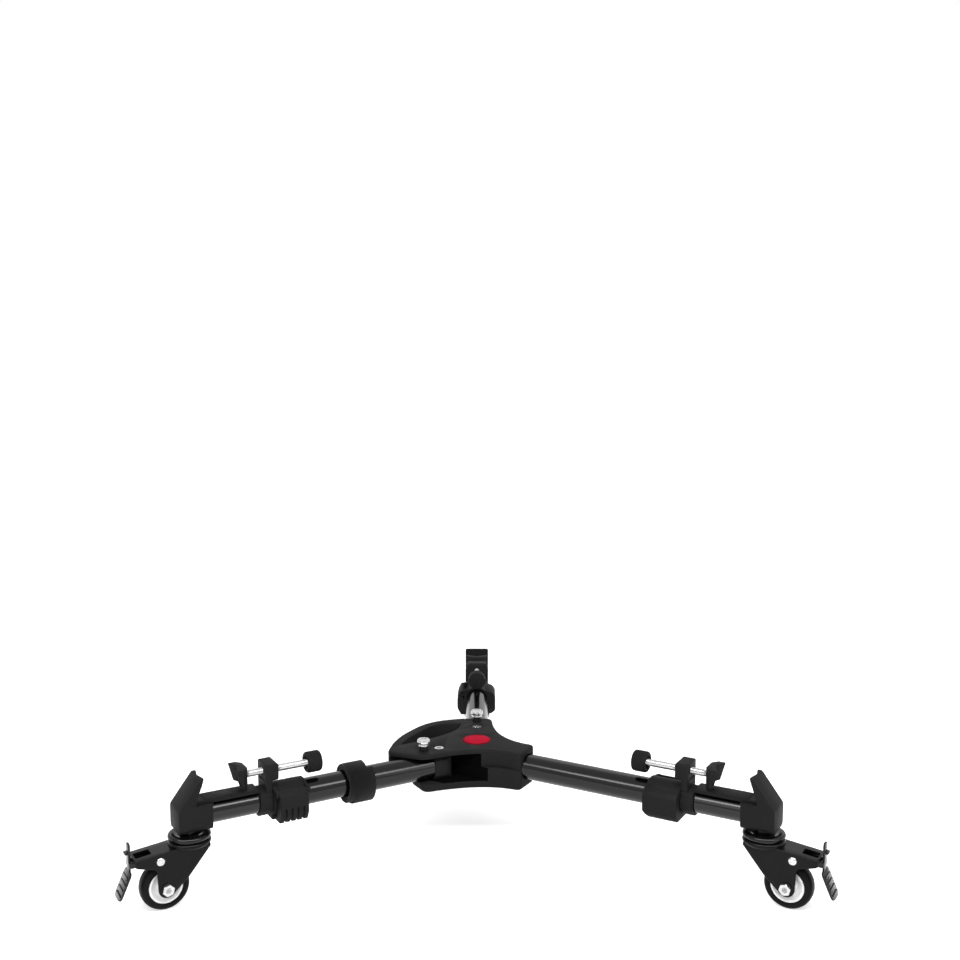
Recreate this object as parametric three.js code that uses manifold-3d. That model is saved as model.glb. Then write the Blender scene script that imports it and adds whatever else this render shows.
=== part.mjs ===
// A three-armed folding dolly for a camera tripod, in millimetres, +Z up.
// It stands on z = 0. One arm is fixed in the hub and two fold beside it. Every arm
// telescopes, clamps a tripod foot against a leaning rest, and stands on a braked caster.

import * as THREE from 'three';
import { mergeVertices } from 'three/addons/utils/BufferGeometryUtils.js';
import Module from 'manifold-3d';

const wasm = await Module();
wasm.setup();

// Clearances
const fitGap = 0.3;          // between pieces that seat on, slide in or turn in each other
const overrun = 3;           // how far a cutting shape runs past what it cuts

// Facets of round shapes
const roundFacets = 16;
const wheelFacets = 20;
const smallFacets = 12;
const hexSides = 6;
const sweepSteps = 8;
const curveSteps = 3;
const leastStep = 0.02;

// Directions of the three arms seen from above, and of their folding
const armAngles = { left: 210, rear: 90, right: 330 };
const foldTurns = { left: 1, rear: -1 };
const foldAngle = 120;
const quarterTurn = 90;
const fullTurn = 360;

// Tubes. Places along an arm run outwards from the hub's centre. The caster's swivel axis
// sets the length of the arm, and what sits near its end is placed back from that axis.
const swivelReach = 361;
const outerTubeRadius = 15;
const tubeWall = 1.3;
const innerTubeRadius = outerTubeRadius - tubeWall - fitGap;
const outerTubeToSwivel = 95;
const outerTubeEnd = swivelReach - outerTubeToSwivel;
const fixedTubeStart = 34;
const innerTubeToSwivel = 10;
const innerTubeEnd = swivelReach - innerTubeToSwivel;

// Wheel and caster heights, measured down from the tube axis
const wheelRadius = 26.6;
const axleDrop = 71.6;
const tubeHeight = axleDrop + wheelRadius;

// Hub, from its centre
const hubTop = 21;
const hubBottom = -26;
const partingGap = 0.2;
const slotGapAbove = 0.8;
const slotGapBeside = 1.5;
const slotHalfHeight = outerTubeRadius + slotGapAbove;
const slotHalfWidth = outerTubeRadius + slotGapBeside;
const slotReach = 180;
const lobeHalfWidth = 19.5;
const fixedLobeReach = 71;
const foldingLobeReach = 84;
const indexToLobeEnd = 10;
const indexReach = foldingLobeReach - indexToLobeEnd;
const pivotToIndex = 21;
const pivotReach = indexReach - pivotToIndex;
const pivotToTube = 13;
const foldingTubeStart = pivotReach + pivotToTube;
const fixedLobeRound = 8;
const foldingLobeRound = 10;
const waistReach = 39;
const baseWaistReach = 43;
const backWaistReach = 45;
const hubTopRound = 2.4;
const hubBottomRound = 4.4;
const pocketRadius = 24;
const hubWall = 5;

// Carry handle, cast onto the hub between the left and the rear lobe. Its places are shares
// of the lobes' reach, along the nearer arm and to its side.
const handleCornerShares = { along: 1.363, side: -0.2095 };
const handleLeftBendShares = { along: 0.994, side: -0.6833 };
const handleRearBendShares = { along: 0.857, side: 0.762 };
const handleCornerRound = 9;
const handleBar = 15.5;
const handleBottom = -8;
const handleGapLeftShares = { along: 1.082, side: -0.3631 };
const handleGapRearShares = { along: 0.738, side: 0.25 };
const handleGapTipRound = 4;
const handleBendShares = { outside: 0.406, gap: 0.2885 };
const handleBottomRound = 3;

// Badge, pivot bolts and index pins on the hub
const badgeRadius = 17.5;
const badgeRecess = 1.4;
const badgeDome = 1.6;
const badgeDomeShares = { radius: 0.7, height: 0.75 };
const pivotRadius = 4;
const pivotHeadRadius = 6;
const pivotHeadHeight = 2.4;
const pivotHeadRecess = 3.4;
const indexBushRadius = 5.6;
const indexBushNeck = 4.2;
const indexBushHeight = 5.2;
const indexPinRadius = 2.6;
const indexCapRadius = 8;
const indexCapHeight = 8.2;
const indexCapChamfer = 1.6;
const indexCapWaist = 1.2;
const indexCapShares = { waist: 0.3, rim: 0.45 };

// Knuckle of a folding arm
const knuckleRadius = 15;
const knuckleChamfer = 2.5;
const knucklePlugLength = 22;
const plugToInnerTube = 42;
const innerTubeStart = foldingTubeStart + knucklePlugLength + plugToInnerTube;

// Lock collar, which grips the inner tube where it leaves the outer one
const collarLength = 40.5;
const collarOverhang = 3.5;
const collarEnd = outerTubeEnd + collarOverhang;
const collarStart = collarEnd - collarLength;
const collarRadius = 18;
const earReach = 26.5;
const earTop = 9;
const earBottom = -22;
const earChamfer = 6;
const earEndChamfer = 9;
const earSlopeShare = 0.7;
const earInnerReach = 9;
const collarRound = 1;

// Flip lever on the collar, turning on an axis along the arm
const leverHingeSide = 20.4;
const leverHingeHeight = 10;
const leverBarrelRadius = 3.6;
const leverPinRadius = 1.6;
const leverPinLength = 2.4;
const leverLugLength = 3.5;
const leverLugRadius = 4;
const leverReach = 28;
const leverShoulder = 25.6;
const leverBottom = -22.6;
const leverToe = 13.4;
const leverKneeHeight = -13;
const ridgeCount = 3;
const ridgePitch = 7;
const ridgeGap = 2.6;
const ridgeDepth = 2.2;
const leverNeckShare = 0.2;

// End cap with the leaning rest and the bed that the clamp jaw slides on
const capBehindSwivel = 22;
const capPastSwivel = 15.5;
const capStart = swivelReach - capBehindSwivel;
const capEnd = swivelReach + capPastSwivel;
const capHalfWidth = 17.2;
const capBottom = -15.5;
const capShoulder = 13;
const capCorner = 10.5;
const capUnderRound = 8;
const restTop = 43.2;
const restTipToSwivel = 13;
const restTip = swivelReach - restTipToSwivel;
const restTipThickness = 3.4;
const restFootToSwivel = 4;
const restFoot = swivelReach - restFootToSwivel;
const restFootHeight = 18;
const restGrooveDepth = 2.6;
const restGrooveHalfWidth = 13;
const capSocketEnd = innerTubeEnd + fitGap;
const bedHalfWidth = 11.7;
const bedTop = 17;
const bedSkirt = 13;
const padHeight = 0.5;
const padLength = 32;
const padToSwivel = 15;
const padEnd = swivelReach - padToSwivel;
const padStart = padEnd - padLength;
const padHalfWidth = 10.2;

// Clamp post, with a ring round the inner tube
const postRingLength = 14.5;
const postRingRadius = 16.8;
const postHalfWidth = 13.5;
const postBlockLength = 15;
const postNeckLength = 7.5;
const postBlockBottom = 25;
const postBlockTop = 44;
const postChamfer = 2.5;
const postToCollar = 0.5;
const postStart = collarEnd + postToCollar;

// Clamp screw, knob and jaw
const screwHeight = 33.5;
const screwRadius = 4;
const knobToPost = 61.5;
const knobStart = postStart - knobToPost;
const knobLength = 17;
const knobRadius = 12;
const knobChamfer = 1.5;
const knobRecessRadius = 8;
const knobRecess = 4;
const knobFloor = 3;
const jawToSwivel = 64;
const jawTopLength = 14.5;
const jawBottomLength = 8.5;
const jawBack = swivelReach - jawToSwivel;
const jawTip = jawBack + jawTopLength;
const jawLowTip = jawBack + jawBottomLength;
const jawTop = 44;
const jawBottom = 23;
const jawHalfWidth = 16;
const jawBackHalfWidth = 9;
const jawFlareLength = 6;
const jawShoulder = jawBack + jawFlareLength;
const jawGroove = 6.5;
const jawFootLength = 9;
const jawFootHalfWidth = 8;
const jawSocketDepth = 5.5;

// Caster: stem, races, fork, axle, brake. Lengths run outwards from the swivel axis.
const stemRadius = 5;
const stemTop = 1;
const nutRadius = 11;
const nutHeight = 2.8;
const raceRadius = 23.3;
const raceHeight = 6.4;
const raceRound = 2.8;
const kingpinRadius = 6;
const kingpinHeadRadius = 9;
const kingpinHead = 2;
const forkHalfWidth = 15.5;
const sheet = 2.2;
const forkBack = -19;
const forkEnd = 62.5;
const forkSlopeStart = 20;
const forkDrop = 4.5;
const forkLipDrop = 6;
const forkWaistReach = 5;
const forkWaistHeight = -62;
const forkBackHeight = -33;
const axleReach = 29;
const cheekRadius = 9.6;
const cheekTurnShare = 0.61;
const archStartReach = 39.5;
const archStartHeight = -54;
const archEndReach = 45;
const archEndHeight = -46.5;
const armEndReach = 60;
const armEndHeight = -42;
const forkSlotStart = 43;
const forkSlotEnd = 60;
const forkSlotHalfWidth = 7;
const axleRadius = 3.9;
const hexRadius = 6.6;
const hexHeight = 4;
const rivetReach = 35.6;
const rivetDrop = -39.2;
const rivetRadius = 2.6;
const rivetHeadRadius = 4.6;
const rivetHeadHeight = 1.8;

// Wheel
const wheelHalfWidth = 9.4;
const rimRadius = 18.3;
const rimLip = 2.2;
const rimDish = 5;
const rimHubRadius = 8;
const tyreShoulder = 3;
const tyreFace = 0.6;
const tyreShares = { edge: 0.25, flank: 0.6, crown: 1.4 };

// Brake pedal, turning on the rivet
const pedalBarrelRadius = 4.4;
const pedalBarrelHalfWidth = 11.5;
const pedalArmHalfWidth = 8;
const pedalArmClearance = 1.2;
const pedalArmDepth = 6.2;
const pedalPlateStart = 64.5;
const pedalPlate = 2.4;
const tabTop = -17.5;
const tabHalfWidth = 5;
const tabLipHeight = -27;
const tabLip = 2;
const tabLipReach = 3.4;
const pedalBend = -48;
const pedalHalfWidth = 12;
const pedalShoulderRound = 4;
const pedalFootSpread = 13;
const pedalFootReach = pedalPlateStart + pedalFootSpread;
const pedalFootHeight = -77;
const pedalToeRound = 7;

// Hook-and-loop strap round the left tube
const strapLength = 32;
const strapPlaceShare = 0.545;
const strapMiddle = foldingLobeReach + (collarStart - foldingLobeReach) * strapPlaceShare;
const strapStart = strapMiddle - strapLength / 2;
const strapEnd = strapMiddle + strapLength / 2;
const strapRadius = 25;
const strapRound = 1.5;

// Finishes
const finish = (color, roughness, metalness) =>
  new THREE.MeshStandardMaterial({ color, roughness, metalness });
const hubPlastic = finish(0x3c3d3f, 0.6, 0);
const blackPlastic = finish(0x1d1d1f, 0.55, 0);
const glossBlack = finish(0x0c0c0e, 0.2, 0.3);
const blackSteel = finish(0x0a0a0b, 0.25, 0.4);
const brightSteel = finish(0xc9c9cc, 0.25, 1);
const tyreRubber = finish(0x17171a, 0.45, 0);
const rimSilver = finish(0xd8d8da, 0.3, 0.6);
const badgeRed = finish(0xc4001c, 0.15, 0);
const strapFabric = finish(0x121213, 0.95, 0);

// Turn a geometry into a solid: merged corners, no empty faces, faces pointing out.
function solid(geometry) {
  geometry.deleteAttribute('uv');
  geometry.deleteAttribute('normal');
  const merged = mergeVertices(geometry);
  const points = merged.attributes.position;
  const corner = new THREE.Vector3();
  const cornersOf = (i) => [0, 1, 2].map((k) => merged.index.getX(i + k));
  const faces = [];
  let volume = 0;
  for (let i = 0; i < merged.index.count; i += 3) {
    const [a, b, c] = cornersOf(i);
    if (a === b || b === c || c === a) continue;
    faces.push([a, b, c]);
    const [p, q, r] = [a, b, c].map((n) => corner.fromBufferAttribute(points, n).clone());
    volume += p.dot(q.cross(r));
  }
  const triVerts = Uint32Array.from(faces.flatMap(([a, b, c]) => (volume < 0 ? [a, c, b] : [a, b, c])));
  const vertProperties = Float32Array.from(points.array);
  return new wasm.Manifold(new wasm.Mesh({ numProp: 3, vertProperties, triVerts }));
}

function join(...bodies) {
  return bodies.reduce((whole, body) => whole.add(body));
}

function cut(body, ...tools) {
  return tools.reduce((whole, tool) => whole.subtract(tool), body);
}

function geometryOf(body) {
  const { vertProperties, triVerts } = body.getMesh();
  const geometry = new THREE.BufferGeometry();
  geometry.setAttribute('position', new THREE.BufferAttribute(vertProperties, 3));
  geometry.setIndex(new THREE.BufferAttribute(triVerts, 1));
  geometry.computeVertexNormals();
  return geometry;
}

// Basic solids, placed where they belong
function block(x0, x1, halfWidth, z0, z1) {
  const geometry = new THREE.BoxGeometry(x1 - x0, halfWidth * 2, z1 - z0);
  return solid(geometry.translate((x0 + x1) / 2, 0, (z0 + z1) / 2));
}

function rodX(radius, x0, x1, y = 0, z = 0, facets = roundFacets) {
  const geometry = new THREE.CylinderGeometry(radius, radius, x1 - x0, facets);
  return solid(geometry.rotateZ(-Math.PI / 2).translate((x0 + x1) / 2, y, z));
}

function rodY(radius, y0, y1, x, z, facets = smallFacets) {
  const geometry = new THREE.CylinderGeometry(radius, radius, y1 - y0, facets);
  return solid(geometry.translate(x, (y0 + y1) / 2, z));
}

function rodZ(radius, z0, z1, x = 0, y = 0, facets = roundFacets) {
  const geometry = new THREE.CylinderGeometry(radius, radius, z1 - z0, facets);
  return solid(geometry.rotateX(Math.PI / 2).translate(x, y, (z0 + z1) / 2));
}

// A closed outline of [radius, height] pairs, turned about Z
function turned(profile, facets = roundFacets) {
  const points = profile.map(([radius, height]) => new THREE.Vector2(radius, height));
  const closed = points[0].x > 0 ? [...points, points[0].clone()] : points;
  return solid(new THREE.LatheGeometry(closed, facets).rotateX(Math.PI / 2));
}

// The same about X, with [radius, place along X] pairs
function turnedX(profile, facets = roundFacets) {
  return turned(profile, facets).rotate([0, quarterTurn, 0]);
}

// The same about Y, centred on the wheel's axle
function turnedY(profile, facets = wheelFacets) {
  return turned(profile, facets).rotate([-quarterTurn, 0, 0]);
}

// Drop the points of an outline that fall together
function spaced(points) {
  return points.filter((point, i) => point.distanceTo(points[(i + 1) % points.length]) > leastStep);
}

// An outline whose vertices are rounded by their own length. A vertex without one pulls
// the outline into a single curve between its two neighbours.
function outline(vertices) {
  const count = vertices.length;
  const toward = (from, to) =>
    from.at.clone().add(to.at.clone().sub(from.at).setLength(from.round));
  const shape = new THREE.Shape();
  vertices.forEach((vertex, i) => {
    const before = vertices[(i + count - 1) % count];
    const after = vertices[(i + 1) % count];
    if (vertex.round === undefined) {
      const end = toward(after, vertex);
      shape.quadraticCurveTo(vertex.at.x, vertex.at.y, end.x, end.y);
      return;
    }
    const enter = toward(vertex, before);
    const leave = toward(vertex, after);
    if (i === 0) shape.moveTo(enter.x, enter.y);
    else shape.lineTo(enter.x, enter.y);
    shape.quadraticCurveTo(vertex.at.x, vertex.at.y, leave.x, leave.y);
  });
  return new THREE.Shape(spaced(shape.getPoints(curveSteps)));
}

function sharp(points) {
  return new THREE.Shape(points.map(([x, y]) => new THREE.Vector2(x, y)));
}

function extrude(shape, depth, round) {
  const settings = {
    depth: depth - 2 * round,
    bevelEnabled: round > 0,
    bevelThickness: round,
    bevelSize: round,
    bevelOffset: -round,
    bevelSegments: 1,
    curveSegments: curveSteps,
  };
  return new THREE.ExtrudeGeometry(shape, settings).translate(0, 0, round);
}

// An outline seen from above, raised from z0 to z1
function slabZ(shape, z0, z1, round = 0) {
  return solid(extrude(shape, z1 - z0, round).translate(0, 0, z0));
}

// An outline seen from the side, its points [along, up], spread to both sides
function slabY(shape, halfWidth, round = 0) {
  const geometry = extrude(shape, halfWidth * 2, round);
  return solid(geometry.rotateX(Math.PI / 2).translate(0, halfWidth, 0));
}

// An outline seen along the arm, its points [side, up], stretched from x0 to x1
function slabX(shape, x0, x1, round = 0) {
  const geometry = extrude(shape, x1 - x0, round);
  return solid(geometry.rotateX(Math.PI / 2).rotateZ(Math.PI / 2).translate(x0, 0, 0));
}

// Places seen from above: a distance along an arm and to its side
function compass(angle) {
  const radians = THREE.MathUtils.degToRad(angle);
  return new THREE.Vector2(Math.cos(radians), Math.sin(radians));
}

function beside(angle, along, side) {
  const ahead = compass(angle);
  return new THREE.Vector2(
    ahead.x * along - ahead.y * side,
    ahead.y * along + ahead.x * side,
  );
}

// The control point that makes a curve from p to q pass through the waist point
function throughWaist(p, q, angle, reach) {
  const middle = p.clone().add(q).multiplyScalar(0.5);
  return compass(angle).multiplyScalar(2 * reach).sub(middle);
}

const whole = new THREE.Group();
const hub = new THREE.Group();
hub.position.z = tubeHeight;
whole.add(hub);

function addPiece(group, name, body, material) {
  const mesh = new THREE.Mesh(geometryOf(body), material);
  mesh.name = name;
  group.add(mesh);
  return mesh;
}

// Hub shells
function lobeCorners(angle, reach, round) {
  return [
    { at: beside(angle, reach, -lobeHalfWidth), round },
    { at: beside(angle, reach, lobeHalfWidth), round },
  ];
}

const fixedLobe = lobeCorners(armAngles.right, fixedLobeReach, fixedLobeRound);
const rearLobe = lobeCorners(armAngles.rear, foldingLobeReach, foldingLobeRound);
const leftLobe = lobeCorners(armAngles.left, foldingLobeReach, foldingLobeRound);

function waist(from, to, angle, reach) {
  return { at: throughWaist(from.at, to.at, angle, reach) };
}

const frontAngle = (armAngles.left + armAngles.right) / 2;
const backAngle = (armAngles.left + armAngles.rear) / 2;
const sideAngle = armAngles.rear - foldAngle / 2;

function besideLobe(arm, shares) {
  return beside(armAngles[arm], foldingLobeReach * shares.along, foldingLobeReach * shares.side);
}

const handleCorner = besideLobe('left', handleCornerShares);
const handleLeftBend = besideLobe('left', handleLeftBendShares);
const handleRearBend = besideLobe('rear', handleRearBendShares);
const handleBendRound = handleLeftBend.distanceTo(handleRearBend) * handleBendShares.outside;

function topOutline() {
  const shape = outline([
    ...fixedLobe,
    waist(fixedLobe[1], rearLobe[0], sideAngle, waistReach),
    ...rearLobe,
    { at: handleRearBend, round: handleBendRound },
    { at: handleLeftBend, round: handleBendRound },
    { at: handleCorner, round: handleCornerRound },
    leftLobe[1],
    waist(leftLobe[1], fixedLobe[0], frontAngle, waistReach),
  ]);
  const inward = (bend) => bend.clone().setLength(bend.length() - handleBar);
  const gapLeftBend = inward(handleLeftBend);
  const gapRearBend = inward(handleRearBend);
  const gapBendRound = gapLeftBend.distanceTo(gapRearBend) * handleBendShares.gap;
  const leftTip = { at: besideLobe('left', handleGapLeftShares), round: handleGapTipRound };
  const rearTip = { at: besideLobe('rear', handleGapRearShares), round: handleGapTipRound };
  shape.holes.push(outline([
    leftTip,
    { at: gapLeftBend, round: gapBendRound },
    { at: gapRearBend, round: gapBendRound },
    rearTip,
    waist(rearTip, leftTip, backAngle, backWaistReach),
  ]));
  return shape;
}

function baseOutline() {
  return outline([
    ...fixedLobe,
    waist(fixedLobe[1], rearLobe[0], sideAngle, waistReach),
    ...rearLobe,
    waist(rearLobe[1], leftLobe[0], backAngle, backWaistReach),
    ...leftLobe,
    waist(leftLobe[1], fixedLobe[0], frontAngle, baseWaistReach),
  ]);
}

// The room that a folding arm sweeps as it turns about its pivot bolt
function sweptSlot(arm) {
  const start = armAngles[arm];
  const turn = foldTurns[arm];
  const pivot = compass(start).multiplyScalar(pivotReach);
  const arcPoint = (angle, radius) => pivot.clone().add(compass(angle).multiplyScalar(radius));
  const points = [];
  for (let i = 0; i <= sweepSteps; i++) {
    points.push(arcPoint(start + turn * foldAngle * (i / sweepSteps), slotReach));
  }
  const backFrom = start + turn * (foldAngle + quarterTurn);
  const backTo = start + turn * (fullTurn - quarterTurn);
  for (let i = 0; i <= sweepSteps; i++) {
    points.push(arcPoint(backFrom + (backTo - backFrom) * (i / sweepSteps), slotHalfWidth));
  }
  const sector = slabZ(new THREE.Shape(points), -slotHalfHeight, slotHalfHeight);
  const strips = [start, start + turn * foldAngle].map((angle) => {
    const strip = block(0, slotReach, slotHalfWidth, -slotHalfHeight, slotHalfHeight);
    return strip.rotate([0, 0, angle]).translate([pivot.x, pivot.y, 0]);
  });
  return join(sector, ...strips);
}

const foldingArms = Object.keys(foldTurns);
const pivots = foldingArms.map((arm) => compass(armAngles[arm]).multiplyScalar(pivotReach));
const indexPlaces = foldingArms.map((arm) => compass(armAngles[arm]).multiplyScalar(indexReach));
const slots = foldingArms.map(sweptSlot);
const tubeSocket = rodX(outerTubeRadius + fitGap, fixedTubeStart - fitGap, slotReach)
  .rotate([0, 0, armAngles.right]);
const belowParting = block(-slotReach, slotReach, slotReach, hubBottom - slotReach, partingGap / 2);
const aboveParting = block(-slotReach, slotReach, slotReach, -partingGap / 2, hubTop + slotReach);

const hubTopShell = cut(
  slabZ(topOutline(), -hubTop, hubTop, hubTopRound),
  belowParting,
  ...slots,
  tubeSocket,
  rodZ(pocketRadius, -overrun, hubTop - hubWall),
  rodZ(badgeRadius + fitGap, hubTop - badgeRecess, hubTop + overrun),
  ...pivots.map((p) => rodZ(pivotRadius + fitGap, -overrun, hubTop + overrun, p.x, p.y, smallFacets)),
  ...pivots.map((p) => rodZ(pivotHeadRadius + fitGap, hubTop - pivotHeadRecess, hubTop + overrun,
    p.x, p.y, smallFacets)),
  ...indexPlaces.map((p) => rodZ(indexBushNeck + fitGap, -overrun, hubTop + overrun,
    p.x, p.y, smallFacets)),
);
addPiece(hub, 'hub_top', hubTopShell, hubPlastic);

const hubBaseShell = cut(
  join(
    slabZ(baseOutline(), hubBottom, hubTop, hubBottomRound),
    slabZ(topOutline(), handleBottom, hubTop, handleBottomRound),
  ),
  aboveParting,
  ...slots,
  tubeSocket,
  rodZ(pocketRadius, hubBottom + hubWall, overrun),
  ...pivots.map((p) => rodZ(pivotRadius + fitGap, hubBottom - overrun, overrun, p.x, p.y, smallFacets)),
  ...pivots.map((p) => rodZ(pivotHeadRadius + fitGap, hubBottom - overrun, hubBottom + pivotHeadRecess,
    p.x, p.y, smallFacets)),
);
addPiece(hub, 'hub_base', hubBaseShell, hubPlastic);

// Badge: a domed disc in its recess
const badgeSeat = hubTop - badgeRecess + fitGap;
const badge = turned([
  [0, badgeSeat],
  [badgeRadius, badgeSeat],
  [badgeRadius, hubTop + fitGap],
  [badgeRadius * badgeDomeShares.radius, hubTop + badgeDome * badgeDomeShares.height],
  [0, hubTop + badgeDome],
]);
addPiece(hub, 'hub_badge', badge, badgeRed);

// Pivot bolts with their nuts, and the index pins in their bushes
const pivotHeadSeat = hubTop - pivotHeadRecess + fitGap;
const pivotNutSeat = hubBottom + pivotHeadRecess - fitGap;
const headTop = pivotHeadSeat + pivotHeadHeight;
const nutBottom = pivotNutSeat - pivotHeadHeight;
foldingArms.forEach((arm, i) => {
  const pivot = pivots[i];
  const bolt = join(
    rodZ(pivotRadius, nutBottom, headTop, pivot.x, pivot.y, smallFacets),
    rodZ(pivotHeadRadius, pivotHeadSeat, headTop, pivot.x, pivot.y, smallFacets),
    rodZ(pivotHeadRadius, nutBottom, pivotNutSeat, pivot.x, pivot.y, hexSides),
  );
  addPiece(hub, `pivot_bolt_${arm}`, bolt, brightSteel);

  const place = indexPlaces[i];
  const bushSeat = hubTop + fitGap;
  const bushTop = bushSeat + indexBushHeight;
  const bush = turned([
    [indexPinRadius + fitGap, slotHalfHeight + fitGap],
    [indexBushNeck, slotHalfHeight + fitGap],
    [indexBushNeck, bushSeat],
    [indexBushRadius, bushSeat],
    [indexBushRadius, bushTop],
    [indexPinRadius + fitGap, bushTop],
  ], smallFacets).translate([place.x, place.y, 0]);
  addPiece(hub, `index_bush_${arm}`, bush, blackPlastic);

  const capBase = bushTop + fitGap;
  const capPeak = capBase + indexCapHeight;
  const pin = turned([
    [0, outerTubeRadius + fitGap],
    [indexPinRadius, outerTubeRadius + fitGap],
    [indexPinRadius, capBase],
    [indexCapRadius - indexCapWaist, capBase],
    [indexCapRadius - indexCapWaist, capBase + indexCapHeight * indexCapShares.waist],
    [indexCapRadius, capBase + indexCapHeight * indexCapShares.rim],
    [indexCapRadius, capPeak - indexCapChamfer],
    [indexCapRadius - indexCapChamfer, capPeak],
    [0, capPeak],
  ], smallFacets).translate([place.x, place.y, 0]);
  addPiece(hub, `index_pin_${arm}`, pin, brightSteel);
});

// Knuckle: a rounded tongue between the hub shells, plugged into the outer tube
function knuckle() {
  const tongueEnd = foldingTubeStart - fitGap;
  const tongueTop = slotHalfHeight - fitGap;
  const nose = rodZ(knuckleRadius, -tongueTop, tongueTop, pivotReach, 0)
    .intersect(block(0, tongueEnd, knuckleRadius, -tongueTop, tongueTop));
  const neck = block(pivotReach, tongueEnd, knuckleRadius, -tongueTop, tongueTop);
  const plug = rodX(outerTubeRadius - tubeWall - fitGap, pivotReach, foldingTubeStart + knucklePlugLength);
  const slope = knuckleChamfer;
  const chamferedSides = slabX(sharp([
    [-knuckleRadius, -tongueTop + slope],
    [-knuckleRadius + slope, -tongueTop],
    [knuckleRadius - slope, -tongueTop],
    [knuckleRadius, -tongueTop + slope],
    [knuckleRadius, tongueTop - slope],
    [knuckleRadius - slope, tongueTop],
    [-knuckleRadius + slope, tongueTop],
    [-knuckleRadius, tongueTop - slope],
  ]), 0, slotReach);
  const bore = rodZ(pivotRadius + fitGap, -slotHalfHeight - overrun, slotHalfHeight + overrun,
    pivotReach, 0, smallFacets);
  return cut(join(nose, neck, plug).intersect(chamferedSides), bore);
}

function outerTube(start, hasPinHole) {
  const tube = turnedX([
    [outerTubeRadius - tubeWall, start],
    [outerTubeRadius, start],
    [outerTubeRadius, outerTubeEnd],
    [outerTubeRadius - tubeWall, outerTubeEnd],
  ]);
  if (!hasPinHole) return tube;
  return cut(tube, rodZ(indexPinRadius + fitGap, innerTubeRadius - tubeWall, outerTubeRadius + overrun,
    indexReach, 0, smallFacets));
}

function innerTube() {
  return turnedX([
    [innerTubeRadius - tubeWall, innerTubeStart],
    [innerTubeRadius, innerTubeStart],
    [innerTubeRadius, innerTubeEnd],
    [innerTubeRadius - tubeWall, innerTubeEnd],
  ]);
}

// Lock collar: a barrel with a smooth ear on one side and hinge lugs on the other
function lockCollar() {
  const barrel = turnedX([
    [outerTubeRadius + fitGap, collarStart],
    [collarRadius - collarRound, collarStart],
    [collarRadius, collarStart + collarRound],
    [collarRadius, collarEnd - collarRound],
    [collarRadius - collarRound, collarEnd],
    [outerTubeRadius + fitGap, collarEnd],
  ]);
  const earSection = sharp([
    [-earReach + earChamfer, earBottom],
    [earInnerReach, earBottom],
    [earInnerReach, 0],
    [0, earTop + earChamfer],
    [-earReach + earChamfer, earTop + earChamfer / 2],
    [-earReach, earTop - earChamfer / 2],
    [-earReach, earBottom + earChamfer],
  ]);
  const earSide = slabY(sharp([
    [collarStart, collarRadius],
    [collarStart, earBottom + earEndChamfer],
    [collarStart + earEndChamfer * earSlopeShare, earBottom],
    [collarEnd, earBottom],
    [collarEnd, collarRadius],
  ]), earReach + overrun);
  const ear = slabX(earSection, collarStart, collarEnd).intersect(earSide);
  const lugEnds = [
    [collarStart, collarStart + leverLugLength],
    [collarEnd - leverLugLength, collarEnd],
  ];
  const lugs = lugEnds.map(([x0, x1]) => join(
    rodX(leverLugRadius, x0, x1, leverHingeSide, leverHingeHeight, smallFacets),
    slabX(sharp([
      [0, 0],
      [leverHingeSide, leverHingeHeight - leverLugRadius],
      [leverHingeSide, leverHingeHeight + leverLugRadius],
      [0, collarRadius],
    ]), x0, x1),
  ));
  const pinHole = rodX(leverPinRadius + fitGap, collarStart - overrun, collarEnd + overrun,
    leverHingeSide, leverHingeHeight, smallFacets);
  const bore = rodX(outerTubeRadius + fitGap, collarStart - overrun, collarEnd + overrun);
  return cut(join(barrel, ear, ...lugs), bore, pinHole);
}

// Flip lever: a barrel between the lugs and a hooked plate with finger ridges
function lockLever() {
  const start = collarStart + leverLugLength + fitGap;
  const end = collarEnd - leverLugLength - fitGap;
  const section = sharp([
    [leverHingeSide, leverHingeHeight + leverBarrelRadius],
    [leverHingeSide - leverBarrelRadius * leverNeckShare, leverHingeHeight - leverBarrelRadius],
    [collarRadius + fitGap + fitGap, 0],
    [leverToe, leverKneeHeight],
    [earInnerReach + fitGap, earBottom + overrun],
    [earInnerReach + fitGap, leverBottom],
    [leverShoulder - overrun, leverBottom],
    [leverReach, leverKneeHeight],
    [leverReach, 0],
    [leverShoulder, leverHingeHeight],
  ]);
  const clearBarrel = rodX(collarRadius + fitGap, start - overrun, end + overrun);
  const clearEar = block(start - overrun, end + overrun, earInnerReach + fitGap, -slotReach, slotReach);
  const plate = cut(slabX(section, start, end), clearBarrel, clearEar);
  const middle = (start + end) / 2;
  const grooves = Array.from({ length: ridgeCount + 1 }, (_, i) => {
    const place = middle + (i - ridgeCount / 2) * ridgePitch;
    const x0 = place - ridgeGap / 2;
    const shape = sharp([
      [leverReach - ridgeDepth, leverKneeHeight / 2],
      [leverReach + overrun, leverKneeHeight / 2],
      [leverReach + overrun, leverBottom - overrun],
      [leverToe, leverBottom - overrun],
      [leverToe, leverBottom + ridgeDepth],
      [leverShoulder - overrun, leverBottom + ridgeDepth],
      [leverReach - ridgeDepth, leverKneeHeight],
    ]);
    return slabX(shape, x0, x0 + ridgeGap);
  });
  return join(
    cut(plate, ...grooves),
    rodX(leverBarrelRadius, start, end, leverHingeSide, leverHingeHeight, smallFacets),
    rodX(leverPinRadius, start - leverPinLength, end + leverPinLength,
      leverHingeSide, leverHingeHeight, smallFacets),
  );
}

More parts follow.
